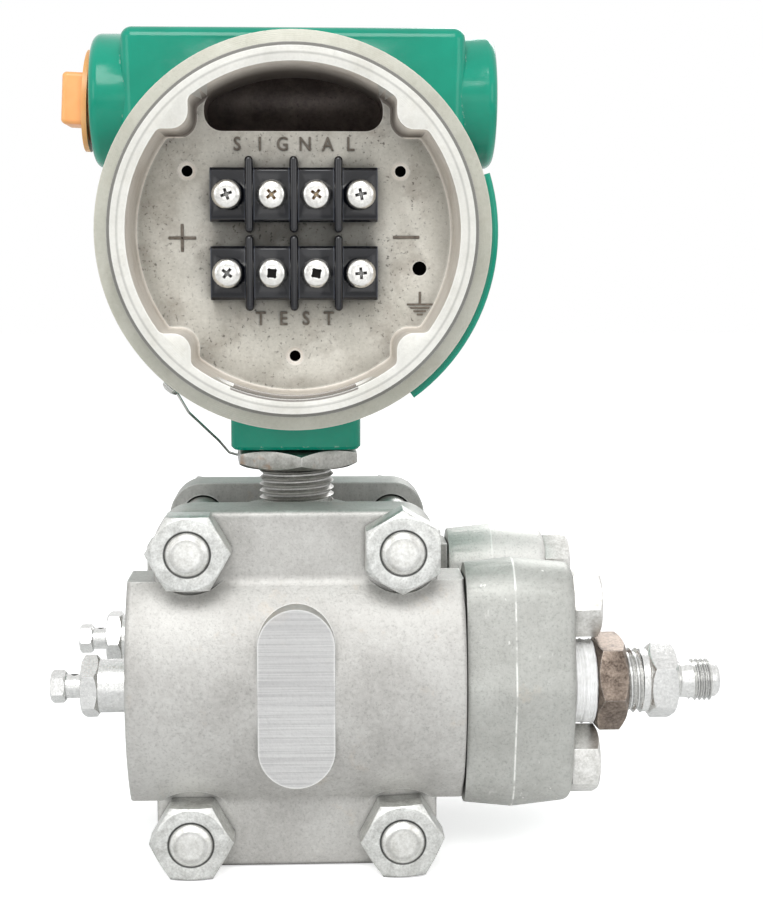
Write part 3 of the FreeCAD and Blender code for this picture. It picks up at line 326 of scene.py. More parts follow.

# %% [markdown]
# ## Marks at a measured place
# Some marks belong to a place: a milled pad, a parting line, the painted shade round a bolt. Sums on
# the object coordinates find such a place, just as one would measure it on the real thing.

# %% Sums on coordinates
class Measures(Patterns):
    """Sums that find a place on the object."""

    def math(self, operation, first, second=0.0):
        made = self.node("Math", _0=first, _1=second)
        made.operation = operation
        return made.outputs[0]

    def times(self, first, *others):
        for other in others:
            first = self.math("MULTIPLY", first, other)
        return first

    def less(self, first, second):
        return self.math("SUBTRACT", first, second)

    def above(self, value, limit):
        """1 where the value is above the limit, else 0."""
        return self.math("GREATER_THAN", value, limit)

    def below(self, value, limit):
        return self.math("LESS_THAN", value, limit)

    def along(self, axis):
        """One of the object coordinates, by its letter."""
        return self.node("SeparateXYZ", _0=self.place).outputs[axis]

    def from_middle(self, axis):
        """How far a place is from the middle along one axis, on either side."""
        return self.math("ABSOLUTE", self.along(axis))

    def distance(self, across, up):
        """The length of a step across and up."""
        return self.math("SQRT", self.math("ADD", self.times(across, across), self.times(up, up)))


print("measures", [name for name in vars(Measures) if name[0] != "_"])

# %% [markdown]
# ## Painted edge light and corner shade
# Edges are painted lighter, a highlight that also stands for the wear of handled metal, and corners
# get painted shade. The Bevel node gives a softened normal, which differs from the true one only near
# an edge, and ambient occlusion tells how closed in a place is. Both follow the shape by themselves,
# so no place has to be marked one by one.

# %% Painted edge light and corner shade
class Finish(Measures):
    """A material whose patterns are added one after another."""

    def openness(self, distance):
        """1 on an open face, towards 0 in a corner; distance in mm."""
        made = self.node("AmbientOcclusion", Distance=distance * MM)
        made.samples = 8
        return made.outputs["AO"]

    def edge_wear_and_highlight(self, radius):
        """1 on a sharp edge and 0 on a flat face; radius in mm."""
        soft = self.node("Bevel", Radius=radius * MM)
        soft.samples = 6
        plain = self.node("NewGeometry").outputs["Normal"]
        facing = self.node("VectorMath", _0=soft.outputs["Normal"], _1=plain)
        facing.operation = "DOT_PRODUCT"
        return self.ramp(facing.outputs["Value"], (0.84, 1.0), (0.99, 0.0))

    def edge_light_and_shade(self, colour, edge_tone, edge=0.8, grime=1.8, depth=0.6):
        """Lighter edges, a painted highlight that also stands for wear, and painted shade in corners, over a
        colour.
        """
        # Painted highlight along the edges, which also stands for wear, and painted shade in the corners.
        colour = self.mix(self.times(self.edge_wear_and_highlight(edge), 0.7), colour, edge_tone)
        return self.darken(colour, self.ramp(self.openness(grime), (0.25, 1.0 - depth), (0.85, 1.0)))


def dress(finish, *names):
    """Give a finish to solids, by name."""
    for name in names:
        materials = nodes[name].data.materials
        if not materials:
            materials.append(finish.material)
        for index in range(len(materials)):
            materials[index] = finish.material


print("solids to dress", len(nodes))

# %% [markdown]
# ## Cast and blasted steel
# The flanges are cast stainless steel, blasted to a fine sparkling grain. Up close the grain is a
# few tenths of a millimetre, over soft clouds of lighter and darker grey and a few handling marks.
# The halves of the adapters' mould met at their widest place, RIDGE_X mm from the middle, and left
# a thin bright line there that wear has broken up.

# %% Cast flange steel
def cast_steel(name, dark, light, metallic=0.42, grain=0.5, rough=(0.38, 0.6), rust_share=0.70):
    finish = Finish(name, metallic=metallic)
    clouds = finish.noise(42, 4, 0.6)
    grain_wide = finish.noise(620, 4, 0.7)
    grain_fine = finish.noise(1500, 3, 0.7)
    tone = finish.mix(0.4, clouds, grain_wide)
    colour = finish.ramp(tone, (0.38, dark), (0.62, light))
    sparkle = finish.ramp(grain_fine, (0.30, 0.70), (0.48, 1.0))
    colour = finish.darken(colour, sparkle, 0.8)
    rust = finish.spots(60, 5, 0.75, (rust_share - 0.1, 0.0), (rust_share + 0.02, 0.3))
    colour = finish.mix(rust, colour, (204, 184, 158))
    finish.roughness(grain_wide, *rough)
    finish.bump(grain_wide, grain * 0.5, 0.00025)
    finish.bump(grain_fine, grain, 0.00014)
    return finish, colour


RIDGE_X = 55.4


def adapter_steel(name, dark, light):
    """Cast steel with a bright, broken parting line round its widest place and a few rubs."""
    finish, colour = cast_steel(name, dark, light, rust_share=0.74)
    from_ridge = finish.math("ABSOLUTE", finish.less(finish.along("X"), RIDGE_X * MM))
    line = finish.ramp(finish.times(from_ridge, 1000.0), (0.12, 1.0), (0.32, 0.0))
    breaks = finish.spots(240, 3, 0.6, (0.42, 0.15), (0.55, 1.0))
    rubs = finish.ramp(finish.noise(1.0, 3, 0.6, finish.stretched(420, 420, 130)), (0.66, 0.0), (0.70, 1.0))
    rub_patch = finish.spots(46, 2, 0.5, (0.52, 0.0), (0.62, 1.0))
    marks = finish.math("MAXIMUM", finish.times(line, breaks), finish.times(rubs, rub_patch))
    colour = finish.mix(finish.times(marks, 0.8), colour, (246, 246, 242))
    finish.bump(marks, 0.3, 0.0001)
    # Painted highlight on the edges and painted shade in the corners.
    finish.colour(finish.edge_light_and_shade(colour, (240, 240, 236)))
    return finish


front_adapter_steel = adapter_steel("dark_adapter_steel", (170, 170, 165), (192, 193, 188))
dress(front_adapter_steel, "front_flange_adapter")
rear_adapter_steel = adapter_steel("pale_adapter_steel", (214, 213, 208), (232, 231, 227))
dress(rear_adapter_steel, "rear_flange_adapter")
print("cast steels done")

# %% [markdown]
# ## The milled pad on the flange
# A cutter has run across the long pad in the middle of each flange and left fine level lines. The
# pad is the outermost plane of the flange, so its distance from the middle of the instrument tells
# the shader where it is, and a noise stretched along X draws the lines.

# %% Flange steel with its milled pad
flange_steel, flange_colour = cast_steel("blasted_flange_steel", (174, 172, 168), (202, 201, 197))
PAD_STEP = 0.06
pad_y = abs(flange_low.y)
on_pad = flange_steel.above(flange_steel.from_middle("Y"), pad_y - PAD_STEP * MM)
lines = flange_steel.noise(1.0, 2, 0.5, flange_steel.stretched(30, 30, 3600))
line_tone = flange_steel.ramp(lines, (0.34, (186, 186, 187)), (0.62, (212, 212, 212)))
flange_colour = flange_steel.mix(flange_steel.times(on_pad, 0.65), flange_colour, line_tone)
flange_steel.bump(flange_steel.times(lines, on_pad), 0.35, 0.00012)
# Painted highlight on the edges and painted shade in the corners.
flange_steel.colour(flange_steel.edge_light_and_shade(flange_colour, (244, 244, 241), edge=1.0))
dress(flange_steel, "front_process_flange", "rear_process_flange")
print("milled pad at", round(pad_y, 4), "m from the middle")

# %% [markdown]
# ## Turned and plated steel
# Bolts, fittings, the neck and the inner parts were cut from bar. The steel is smoother than a
# casting and mirrors its surroundings, so it is nearly all metal to the shader, and two noises keep
# its tone and its gloss uneven. One recipe serves them all, with its tones, its roughness and how
# fine its blotches are as settings.

# %% Turned and plated steel
def turned_steel(name, dark, light, rough=(0.22, 0.4), metallic=0.95, scratches=0.25, grime=1.2, depth=0.5,
                 fineness=430):
    finish = Finish(name, metallic=metallic)
    blotches = finish.noise(fineness, 4, 0.66)
    fine = finish.noise(1700, 3, 0.7)
    tone = finish.mix(0.45, blotches, fine)
    colour = finish.ramp(tone, (0.34, dark), (0.62, light))
    finish.roughness(blotches, *rough)
    finish.bump(fine, scratches, 0.0001)
    finish.bump(blotches, scratches * 0.8, 0.00018)
    # Painted highlight on the edges and painted shade in the corners.
    return finish, finish.edge_light_and_shade(colour, (250, 250, 248), 0.5, grime, depth)


def plain_steel(name, dark, light, **settings):
    finish, colour = turned_steel(name, dark, light, **settings)
    finish.colour(colour)
    return finish


plated = plain_steel("plated_bolt_steel", (196, 195, 189), (242, 241, 238), rough=(0.26, 0.5),
                     scratches=0.4)
dress(plated, "adapter_bolts")
bright = plain_steel("bright_fitting_steel", (204, 204, 202), (238, 238, 236), rough=(0.16, 0.34),
                     fineness=950, depth=0.7)
dress(bright, "tube_connector", "front_vent_body", "rear_vent_body", "front_vent_stem", "rear_vent_stem")
module = plain_steel("module_steel", (158, 157, 152), (204, 203, 199), rough=(0.24, 0.45), depth=0.7)
dress(module, "sensor_module", "threaded_neck", "tag_screw", "tag_wire", "front_isolating_diaphragm",
      "rear_isolating_diaphragm", "sensing_diaphragm", "front_cell_half", "rear_cell_half")
print("turned steels done")

# %% [markdown]
# ## Nuts, bolt ends and a little rust
# Seen from the front, the thread between each bolt and its nut lies in shade, painted as a dark ring on
# the nut, and the bolt's end is turned in rings, with painted shade at its rim. All four bolts lie at the same
# distances from the middle, so the absolute values of X and Z fold the four corners onto one, and a single
# distance draws every ring.

# %% Nut and bolt steels
BOLT_DX, BOLT_DZ = 26.7 * MM, 37.0 * MM


def from_bolt(finish):
    """Distance from the nearest flange bolt's axis, 1 at 10 mm."""
    across = finish.less(finish.from_middle("X"), BOLT_DX)
    height = finish.math("ABSOLUTE", finish.less(finish.along("Z"), process_z))
    upwards = finish.less(height, BOLT_DZ)
    return finish.times(finish.distance(across, upwards), 100.0)


nut_steel, nut_colour = turned_steel("plated_nut_steel", (184, 184, 180), (234, 235, 232),
                                     rough=(0.28, 0.52), scratches=0.45)
# Painted shade of the thread gap, as a dark ring on each nut round its bolt.
thread_gap_shade = nut_steel.ramp(from_bolt(nut_steel), (0.585, 0.16), (0.605, 1.0))
nut_steel.colour(nut_steel.darken(nut_colour, thread_gap_shade))
bolt_steel, bolt_colour = turned_steel("plated_stud_steel", (206, 205, 199), (246, 246, 243),
                                       rough=(0.24, 0.46), scratches=0.4)
# Turned rings on the bolt's end, and painted shade at its rim where the thread meets the nut.
turned_rings_and_rim_shade = bolt_steel.ramp(from_bolt(bolt_steel), (0.30, 1.0), (0.37, 0.72), (0.43, 0.80), (0.455, 1.0),
                        (0.51, 1.0), (0.53, 0.45))
bolt_steel.colour(bolt_steel.darken(bolt_colour, turned_rings_and_rim_shade, 0.85))
lock_steel, lock_colour = turned_steel("rusty_lock_nut_steel", (146, 145, 139), (190, 189, 184),
                                       rough=(0.24, 0.44))
rust_spots = lock_steel.spots(95, 4, 0.65, (0.62, 0.0), (0.70, 0.6))
lock_steel.colour(lock_steel.mix(rust_spots, lock_colour, (168, 132, 102)))
dress(nut_steel, "flange_nuts")
dress(bolt_steel, "flange_bolts")
dress(lock_steel, "lock_nut")
print("nut and bolt steels done")

# %% [markdown]
# ## Green paint
# The housing and its rear cover wear a thick, glossy green paint. A thin clear coat over a smooth
# base gives its gloss, a slow bump gives the slightly wavy skin of sprayed paint, and the inner
# corners of the casting are darker, where less light reaches. Along sharp edges the paint has
# chipped: a noise decides where, and the Bevel node finds the edges.

# %% Green paint
def green_paint(name):
    """Glossy green paint that has chipped off here and there along the edges."""
    finish = Finish(name, specular=0.32, coat=0.12)
    paint = finish.two_tone(60, (0, 140, 114), (4, 156, 128))
    speckle = finish.spots(420, 4, 0.7, (0.56, 0.0), (0.60, 1.0))
    chips = finish.times(finish.edge_wear_and_highlight(0.9), speckle)
    paint = finish.mix(finish.times(chips, 0.85), paint, (196, 212, 200))
    corners = finish.ramp(finish.openness(16.0), (0.2, 0.36), (0.75, 1.0))
    finish.colour(finish.darken(paint, corners))
    finish.bump(finish.noise(210, 2), 0.12, 0.0005)
    finish.roughness(finish.noise(500, 3), 0.10, 0.24)
    return finish


green = green_paint("green_housing_paint")
cap_paint = green_paint("green_cap_paint")
dress(cap_paint, "rear_cover")
print("paints done")

# %% [markdown]
# ## Plastics, tape and small metal
# The terminal strips are hard black moulding with a painted highlight along their edges, the conduit plug is a
# soft orange plastic that lets some light in, with painted shade in its corners, and the tape is white and matt.
# Each is a plain shader with two near tones. The screws and the bushing use the recipe for turned steel, one
# bright and one brown with age.

# %% Black moulding and orange plastic
black = Finish("black_moulding", specular=0.6)
moulding = black.two_tone(300, (4, 5, 10), (14, 15, 22))
# Painted highlight along the edges of the moulding.
black.colour(black.mix(black.times(black.edge_wear_and_highlight(0.7), 0.6), moulding, (120, 126, 142)))
black.bump(black.noise(700, 2), 0.12, 0.0001)
black.roughness(black.noise(260, 4, 0.7), 0.08, 0.22)
dress(black, "signal_terminal_strip", "test_terminal_strip", "rear_cover_seal")
orange = Finish("orange_cap_plastic", roughness=0.35)
orange_tone = orange.two_tone(90, (244, 168, 98), (252, 190, 124))
# Painted shade in the plug's corners.
orange.colour(orange.darken(orange_tone, orange.ramp(orange.openness(3.0), (0.2, 0.6), (0.9, 1.0))))
for socket, value in (("Weight", 0.2), ("Radius", (0.003, 0.0015, 0.0006)), ("Scale", 1.0)):
    orange.shader.inputs["Subsurface " + socket].default_value = value
orange.bump(orange.noise(600, 2), 0.1, 0.0001)
dress(orange, "conduit_plug")
print("plastics", black.material.name, orange.material.name)

# %% Small metal, tape and boards
screw_metal = plain_steel("nickel_screw", (204, 202, 197), (240, 239, 235), rough=(0.12, 0.30),
                          grime=1.0, depth=0.75)
dress(screw_metal, "signal_terminal_screws", "test_terminal_screws", "board_screws", "board_posts",
      "terminal_feedthroughs")
brown = plain_steel("brown_bushing", (66, 54, 46), (150, 136, 124), rough=(0.3, 0.5), metallic=0.75)
dress(brown, "reducer_bushing")
white_tape = Finish("seal_tape", roughness=0.6)
white_tape.colour(white_tape.two_tone(500, (232, 232, 230), (250, 250, 250)))
white_tape.bump(white_tape.noise(900, 3, 0.6, white_tape.stretched(3.0, 0.6, 0.6)), 0.5, 0.0002)
dress(white_tape, "thread_seal_tape", "front_flange_gasket", "rear_flange_gasket", "front_adapter_gasket",
      "rear_adapter_gasket")
board = Finish("board_green", roughness=0.4)
board.colour(board.two_tone(200, (30, 90, 50), (40, 110, 60)))
dress(board, "amplifier_board", "calibration_board")
moulded = Finish("moulded_parts", roughness=0.5)
moulded.colour(moulded.two_tone(300, (46, 46, 50), (66, 66, 70)))
dress(moulded, "board_components")
print("finishes", len(bpy.data.materials))

# %% [markdown]
# ## Making pieces by hand
# A few helpers cover all the modelling below. Each works as a person would at the screen: add a
# primitive, go into edit mode, select, extrude and scale, come back, apply the modifiers. Before a
# primitive is added everything is deselected, because an operator acts on all that is selected.

# %% Modelling helpers
def fresh():
    """Leave edit mode and deselect everything."""
    if bpy.context.mode != "OBJECT":
        bpy.ops.object.mode_set(mode="OBJECT")
    bpy.ops.object.select_all(action="DESELECT")


def pick(piece):
    """Make one object the only selected and active one."""
    fresh()
    piece.select_set(True)
    bpy.context.view_layer.objects.active = piece


def edit(action="SELECT"):
    """Go into edit mode with everything selected, or deselected."""
    bpy.ops.object.mode_set(mode="EDIT")
    bpy.ops.mesh.select_all(action=action)


def leave():
    """Go back to object mode and return the piece."""
    bpy.ops.object.mode_set(mode="OBJECT")
    return bpy.context.object


def write_place():
    """Write place, turn and size into the mesh, and return the piece."""
    bpy.ops.object.transform_apply(location=True, rotation=True, scale=True)
    return bpy.context.object


def block(x, y, z, turn=0.0, place=(0, 0, 0)):
    """A cuboid of that size in mm, turned about Z in degrees, at a place in metres."""
    fresh()
    bpy.ops.mesh.primitive_cube_add(size=1.0)
    piece = bpy.context.object
    piece.scale = (x * MM, y * MM, z * MM)
    piece.rotation_euler.z = math.radians(turn)
    piece.location = place
    return write_place()


def modify(piece, kind, **settings):
    """Add a modifier, set it and apply it."""
    pick(piece)
    modifier = piece.modifiers.new(kind.lower(), kind)
    for name, value in settings.items():
        setattr(modifier, name, value)
    bpy.ops.object.modifier_apply(modifier=modifier.name)
    return piece


def bevel(piece, width, turn_limit=30.0, **settings):
    """Round the edges that turn by more than a limit in degrees; width in mm."""
    return modify(piece, "BEVEL", width=width * MM, segments=2, limit_method="ANGLE",
                  angle_limit=math.radians(turn_limit), **settings)


def settle(piece, name, smooth_angle=35.0):
    """Name a finished piece, write its place into its mesh and smooth it."""
    pick(piece)
    piece.name = name
    piece.data.name = name
    write_place()
    bpy.ops.object.shade_smooth_by_angle(angle=math.radians(smooth_angle))
    fresh()
    return piece


def join(first, *others):
    """Join objects into the first one."""
    pick(first)
    for other in others:
        other.select_set(True)
    bpy.ops.object.join()
    return first


print("selection and modifier helpers ready")

# %% [markdown]
# ## Turned shapes
# A turned shape is a disc that is extruded and scaled through a list of steps along its axis, which
# leaves its rims just where a lathe tool would. A spin of a drawn profile would do too, but the
# steps read like a turner's drawing. The open ends are filled at the end.

# %% Lathe
def close_holes(piece):
    """Fill every open rim and turn all faces outwards."""
    pick(piece)
    edit()
    bpy.ops.mesh.select_mode(type="VERT")
    bpy.ops.mesh.select_all(action="SELECT")
    bpy.ops.mesh.remove_doubles(threshold=0.000002)
    bpy.ops.mesh.select_all(action="DESELECT")
    bpy.ops.mesh.select_non_manifold(extend=False, use_wire=False, use_multi_face=False,
                                     use_non_contiguous=False, use_verts=False)
    bpy.ops.mesh.edge_face_add()
    bpy.ops.mesh.select_all(action="SELECT")
    bpy.ops.mesh.normals_make_consistent(inside=False)
    return leave()


def lathe(profile, vertices):
    """A turned piece along +Z: a disc is extruded and scaled through (along, radius) steps, in mm."""
    fresh()
    along, radius = profile[0]
    bpy.ops.mesh.primitive_circle_add(vertices=vertices, radius=radius * MM, fill_type="NGON",
                                      location=(0, 0, along * MM))
    edit()
    for next_along, next_radius in profile[1:]:
        bpy.ops.mesh.extrude_region_move(TRANSFORM_OT_translate={"value": (0, 0, (next_along - along) * MM)})
        share = next_radius / radius
        bpy.ops.transform.resize(value=(share, share, 1), center_override=(0, 0, next_along * MM))
        along, radius = next_along, next_radius
    pick(leave())
    return close_holes(write_place())


print("lathe ready")

# %% [markdown]
# ## Hexagons
# A nut's hexagon has its corners turned off at both ends, which leaves the curved chamfer lines on
# every flat. So a prism of six sides is cut to the volume that it shares with a turned cone.

# %% Hexagon
def hexagon(across_flats, length, chamfer, turn=0.0):
    """A hexagon along +Z whose corners are turned off at both ends."""
    fresh()
    corner_r = across_flats / math.sqrt(3)
    bpy.ops.mesh.primitive_cylinder_add(vertices=6, radius=corner_r * MM, depth=length * MM,
                                        location=(0, 0, length / 2 * MM),
                                        rotation=(0, 0, math.radians(turn)))
    prism = write_place()
    face_r = across_flats / 2 * 0.97
    cone = lathe([(-0.01, face_r), (chamfer, corner_r + 0.05), (length - chamfer, corner_r + 0.05),
                  (length + 0.01, face_r)], 48)
    modify(prism, "BOOLEAN", operation="INTERSECT", object=cone, solver="EXACT")
    bpy.data.objects.remove(cone)
    return bevel(prism, 0.18, turn_limit=40)


print("hexagon ready")

# %% [markdown]
# ## Threads
# A bump pattern looks flat at the silhouette, so a thread that is in view is real: a small triangle
# that the Screw modifier sweeps round and up, sunk into a turned core. Two more helpers lay a piece
# in its place and give it its finish, its body and the solids that it stands for.

# %% Thread, place and finish
def thread_ridge(root_r, crest_r, pitch, turns, steps):
    """The ridge of a screw thread along +Z: a small triangle swept round and up."""
    fresh()
    depth = crest_r - root_r
    bpy.ops.mesh.primitive_circle_add(vertices=3, radius=1.0, fill_type="NOTHING")
    edit()
    bpy.ops.transform.rotate(value=math.radians(90), orient_axis="X", center_override=(0, 0, 0))
    ridge = leave()
    middle = (root_r + 0.25 * depth) * MM
    corners = [(middle + depth * 0.75 * MM, 0.0), (middle - depth * 0.5 * MM, pitch * 0.5 * MM),
               (middle - depth * 0.5 * MM, -pitch * 0.5 * MM)]
    for vertex, (out, up) in zip(ridge.data.vertices, corners):
        vertex.co = (out, 0.0, up)
    modify(ridge, "SCREW", axis="Z", screw_offset=pitch * MM, iterations=turns, steps=steps,
           render_steps=steps, angle=math.tau, use_merge_vertices=False)
    return close_holes(ridge)


def lay_along(piece, start, axis):
    """Turn a piece made along +Z so that it points along axis from start, both in metres."""
    turn = Vector((0, 0, 1)).rotation_difference(Vector(axis)).to_matrix().to_4x4()
    pick(piece)
    piece.matrix_world = Matrix.Translation(Vector(start)) @ turn
    return write_place()


def finish_piece(piece, finish, body, slot, *replaced):
    """Dress a new piece, unless it has its finish, let it ride on its body and stand for solids."""
    if finish:
        piece.data.materials.clear()
        piece.data.materials.append(finish.material)
    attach(piece, body)
    if replaced:
        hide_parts(*replaced)
    return piece


print("modelling helpers ready")

# %% [markdown]
# ## Softer edges
# A solid from a CAD program has edges of no width, and no real edge is that sharp: a thin bright
# line runs along every corner of a nut or a casting. The solids themselves stay as they are. A copy
# of one is merged into a closed mesh, its flat triangles are dissolved into whole faces, and a
# narrow bevel is put on the edges that turn sharply. The copy then stands for the solid.

# %% Copy a solid and soften its edges
def softened(node, width, finish, slot, turn_limit=30.0, smooth_angle=32.0):
    """A copy of a solid with bevelled edges; width in mm."""
    solid = nodes[node]
    body = solid["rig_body"]
    piece = solid.copy()
    piece.data = solid.data.copy()
    for key in list(piece.keys()):
        del piece[key]
    piece.parent = None
    piece.matrix_world = Matrix.Identity(4)
    bpy.context.scene.collection.objects.link(piece)
    pick(piece)
    edit()
    bpy.ops.mesh.customdata_custom_splitnormals_clear()
    bpy.ops.mesh.remove_doubles(threshold=0.000004)
    bpy.ops.mesh.dissolve_limited(angle_limit=math.radians(0.4))
    leave()
    bevel(piece, width, turn_limit, use_clamp_overlap=True, miter_outer="MITER_ARC")
    settle(piece, node + "_worn", smooth_angle)
    return finish_piece(piece, finish, body, slot, node)


WORN = (
    ("flange_nuts", 0.3, nut_steel, "plated_nut"),
    ("flange_bolts", 0.25, bolt_steel, "plated_bolt"),
    ("adapter_bolts", 0.25, plated, "plated_bolt"),
    ("lock_nut", 0.25, lock_steel, "plated_nut"),
    ("reducer_bushing", 0.25, brown, "bronze_bushing"),
    ("signal_terminal_strip", 0.15, black, "black_phenolic"),
    ("test_terminal_strip", 0.15, black, "black_phenolic"),
    ("front_flange_adapter", 0.35, front_adapter_steel, "adapter_steel_front"),
    ("rear_flange_adapter", 0.35, rear_adapter_steel, "adapter_steel_rear"))
worn_pieces = [softened(*row) for row in WORN]
print("softened", [(piece.name, len(piece.data.polygons)) for piece in worn_pieces])

# %% [markdown]
# ## Bare metal on the housing
# The housing is an aluminium casting painted a glossy green outside. Inside the terminal compartment
# and wherever a cutter has passed, the metal is bare: the rim and its shoulder were turned after
# painting, so the border between the two is a crisp edge. Most of these places are round the
# housing's axis, so the distance from that axis is the measure that many patterns below use.

# %% Bare aluminium
def radial(finish, scale=1000.0):
    """Distance from the housing's axis, in mm unless another scale is given."""
    up = finish.less(finish.along("Z"), housing_z)
    return finish.times(finish.distance(finish.along("X"), up), scale)


def bare_aluminium(name, dark, light, stain, stain_weight=0.3, speck_weight=0.3, rough=(0.42, 0.66), metallic=0.3):
    """Bare cast aluminium with faint stains and patches of small dark specks."""
    finish = Finish(name, metallic=metallic)
    clouds = finish.noise(60, 4, 0.62)
    fine = finish.noise(1200, 4, 0.72)
    tone = finish.ramp(finish.mix(0.35, clouds, fine), (0.36, dark), (0.64, light))
    stains = finish.spots(95, 5, 0.7, (0.50, 0.0), (0.68, 1.0))
    tone = finish.mix(finish.times(stains, stain_weight), tone, stain)
    patches = finish.spots(48, 3, 0.6, (0.42, 0.25), (0.60, 1.0))
    specks = finish.spots(950, 3, 0.68, (0.34, 1.0), (0.42, 0.0))
    speck = [share * 0.25 for share in screen(*stain)[:3]] + [1.0]
    tone = finish.mix(finish.times(specks, patches, speck_weight), tone, speck)
    finish.roughness(fine, *rough)
    finish.bump(fine, 0.3, 0.00014)
    return finish, tone


def turned_marks(finish):
    """The fine rings of a lathe tool, with a few rubbed places."""
    finish.bump(finish.math("SINE", radial(finish, 14000.0)), 0.22, 0.00003)
    rubs = finish.noise(420, 3, 0.6, finish.stretched(1.0, 4.0, 0.35))
    finish.bump(finish.ramp(rubs, (0.27, 1.0), (0.33, 0.0)), 0.3, 0.00007)


print("housing axis at height", round(housing_z, 4))

# %% [markdown]
# ## The turned rim and its shoulder
# The rim shows the rings of the lathe tool and one deeper line. Its outer corner is chamfered and
# painted dark as shade, and just behind it starts the thread for the cover, a fine relief that is drawn
# by a sine along the axis, with painted shade in its grooves. At the bottom a painted shadow on a lip
# marks the drain slot in the wall below.

# %% Rim and shoulder
CHAMFER_R, CHAMFER_DEPTH, COVER_PITCH = 43.9, 0.9, 1.5
LIP_R, LIP_DROP, LIP_HALF = 40.9, 36.8, 15.5
rim, tone = bare_aluminium("turned_rim_metal", (206, 205, 198), (224, 223, 217), (186, 180, 164),
                           0.25, 0.10, (0.30, 0.5), 0.45)
turned_marks(rim)
tone = rim.darken(tone, rim.ramp(radial(rim, 20.0), (0.838, 1.0), (0.842, 0.72), (0.848, 0.72), (0.853, 1.0)))
outside = rim.above(radial(rim), CHAMFER_R)
out_y = rim.from_middle("Y")
chamfer_foot = nose_y - CHAMFER_DEPTH * MM
# Painted shade on the outer chamfer of the rim.
tone = rim.mix(rim.times(outside, rim.above(out_y, chamfer_foot), 0.75), tone, (78, 76, 70))
wave = rim.math("SINE", rim.times(out_y, math.tau / (COVER_PITCH * MM)))
thread = rim.times(outside, rim.below(out_y, chamfer_foot), wave)
rim.bump(thread, 1.0, 0.0005)
# Painted shade in the grooves of the cover thread.
thread_groove_shade = rim.ramp(rim.math("ADD", rim.times(thread, 0.5), 0.5), (0.1, 0.62), (0.5, 1.0))
tone = rim.darken(tone, thread_groove_shade)
# Painted shadow on the lip above the drain slot.
slot_lip = rim.times(rim.below(radial(rim), LIP_R), rim.below(rim.along("Z"), housing_z - LIP_DROP * MM),
                     rim.below(rim.from_middle("X"), LIP_HALF * MM))
tone = rim.mix(rim.times(slot_lip, 0.8), tone, (92, 84, 78))
# Painted highlight on the edges and painted shade in the corners.
rim.colour(rim.edge_light_and_shade(tone, (250, 250, 246), 0.6, 1.6, 0.6))
shoulder, tone = bare_aluminium("turned_shoulder_metal", (178, 178, 165), (198, 197, 186),
                                (160, 154, 138), 0.3, 0.12, (0.4, 0.6), 0.35)
turned_marks(shoulder)
# Painted highlight on the edges and painted shade in the corners.
shoulder.colour(shoulder.edge_light_and_shade(tone, (218, 216, 205), 0.7, 3.0, 0.75))
print("rim at", round(nose_y, 4), "m from the middle")

# %% [markdown]
# ## Walls, floor and pocket of the compartment
# The wall of the compartment stands nearly in line with the view, so painted shade does most of the
# drawing: it darkens with depth above the conduit opening, and a painted dark line of shade goes round
# the drain slot, whose faces carry a painted highlight. The floor is stained and specked, with painted
# shade in its corners, and the pocket behind the opening is painted darkest as shade. The screw holes are
# painted nearly black as shade, and the entries carry a pipe thread.

# %% Wall
SLOT_MID, SLOT_HALF_W, SLOT_HALF_L = 38.0, 4.5, 16.0
SHADE_DEPTH, TOP_DZ, BOTTOM_DZ = 19, 24, 30
wall, tone = bare_aluminium("cast_wall_metal", (216, 209, 198), (236, 230, 221), (190, 176, 160),
                            0.4, 0.2)
deeper = wall.node("MapRange", Value=wall.along("Y"), From_Min=floor_y - SHADE_DEPTH * MM,
                   From_Max=floor_y).outputs["Result"]
near_top = wall.above(wall.along("Z"), housing_z + TOP_DZ * MM)
# Painted shade that deepens towards the back of the compartment, above the conduit opening.
tone = wall.mix(wall.times(deeper, near_top, 0.85), tone, (92, 82, 76))
slot_side = wall.math("ABSOLUTE", wall.math("ADD", wall.along("Y"), SLOT_MID * MM))
past_slot = wall.math("MAXIMUM", wall.less(slot_side, SLOT_HALF_W * MM),
                      wall.less(wall.from_middle("X"), SLOT_HALF_L * MM))
# Painted shade as a dark line round the drain slot.
slot_rim_shade = wall.ramp(wall.times(past_slot, 1000.0), (0.80, 1.0), (1.1, 0.0))
at_bottom = wall.below(wall.along("Z"), housing_z - BOTTOM_DZ * MM)
tone = wall.mix(wall.times(slot_rim_shade, at_bottom, 0.75), tone, (82, 74, 68))
# Painted highlight on the edges and painted shade in the corners.
wall.colour(wall.edge_light_and_shade(tone, (250, 247, 241), 1.0, 1.2, 0.35))
print("floor at", round(floor_y, 4))

# %% Floor, slot, pocket, holes and entries
floor, tone = bare_aluminium("cast_floor_metal", (184, 181, 171), (218, 215, 206), (148, 139, 128),
                             0.5, 0.9)
# Painted shade in the corners of the floor.
tone = floor.darken(tone, floor.ramp(floor.openness(11.0), (0.35, 0.52), (0.80, 1.0)))
# Painted highlight on the edges and more painted shade in the corners.
floor.colour(floor.edge_light_and_shade(tone, (236, 233, 226), 0.8, 1.6, 0.5))
# The drain slot's faces are painted bright as a highlight, with painted edge light and corner shade.
slot, tone = bare_aluminium("slot_painted_highlight_metal", (248, 247, 242), (255, 255, 252), (214, 208, 196),
                            0.3, 0.1, (0.3, 0.5), 0.1)
slot.colour(slot.edge_light_and_shade(tone, (255, 255, 253), 0.3, 0.8, 0.5))
# The pocket behind the conduit opening is painted dark as shade, with more painted shade in its corners.
pocket_shade, tone = bare_aluminium("pocket_painted_shade_metal", (88, 78, 73), (136, 124, 117), (44, 34, 32),
                              0.5, 0.5, (0.3, 0.55))
pocket_shade.colour(pocket_shade.darken(tone, pocket_shade.ramp(pocket_shade.openness(16.0), (0.1, 0.3), (0.6, 1.0))))
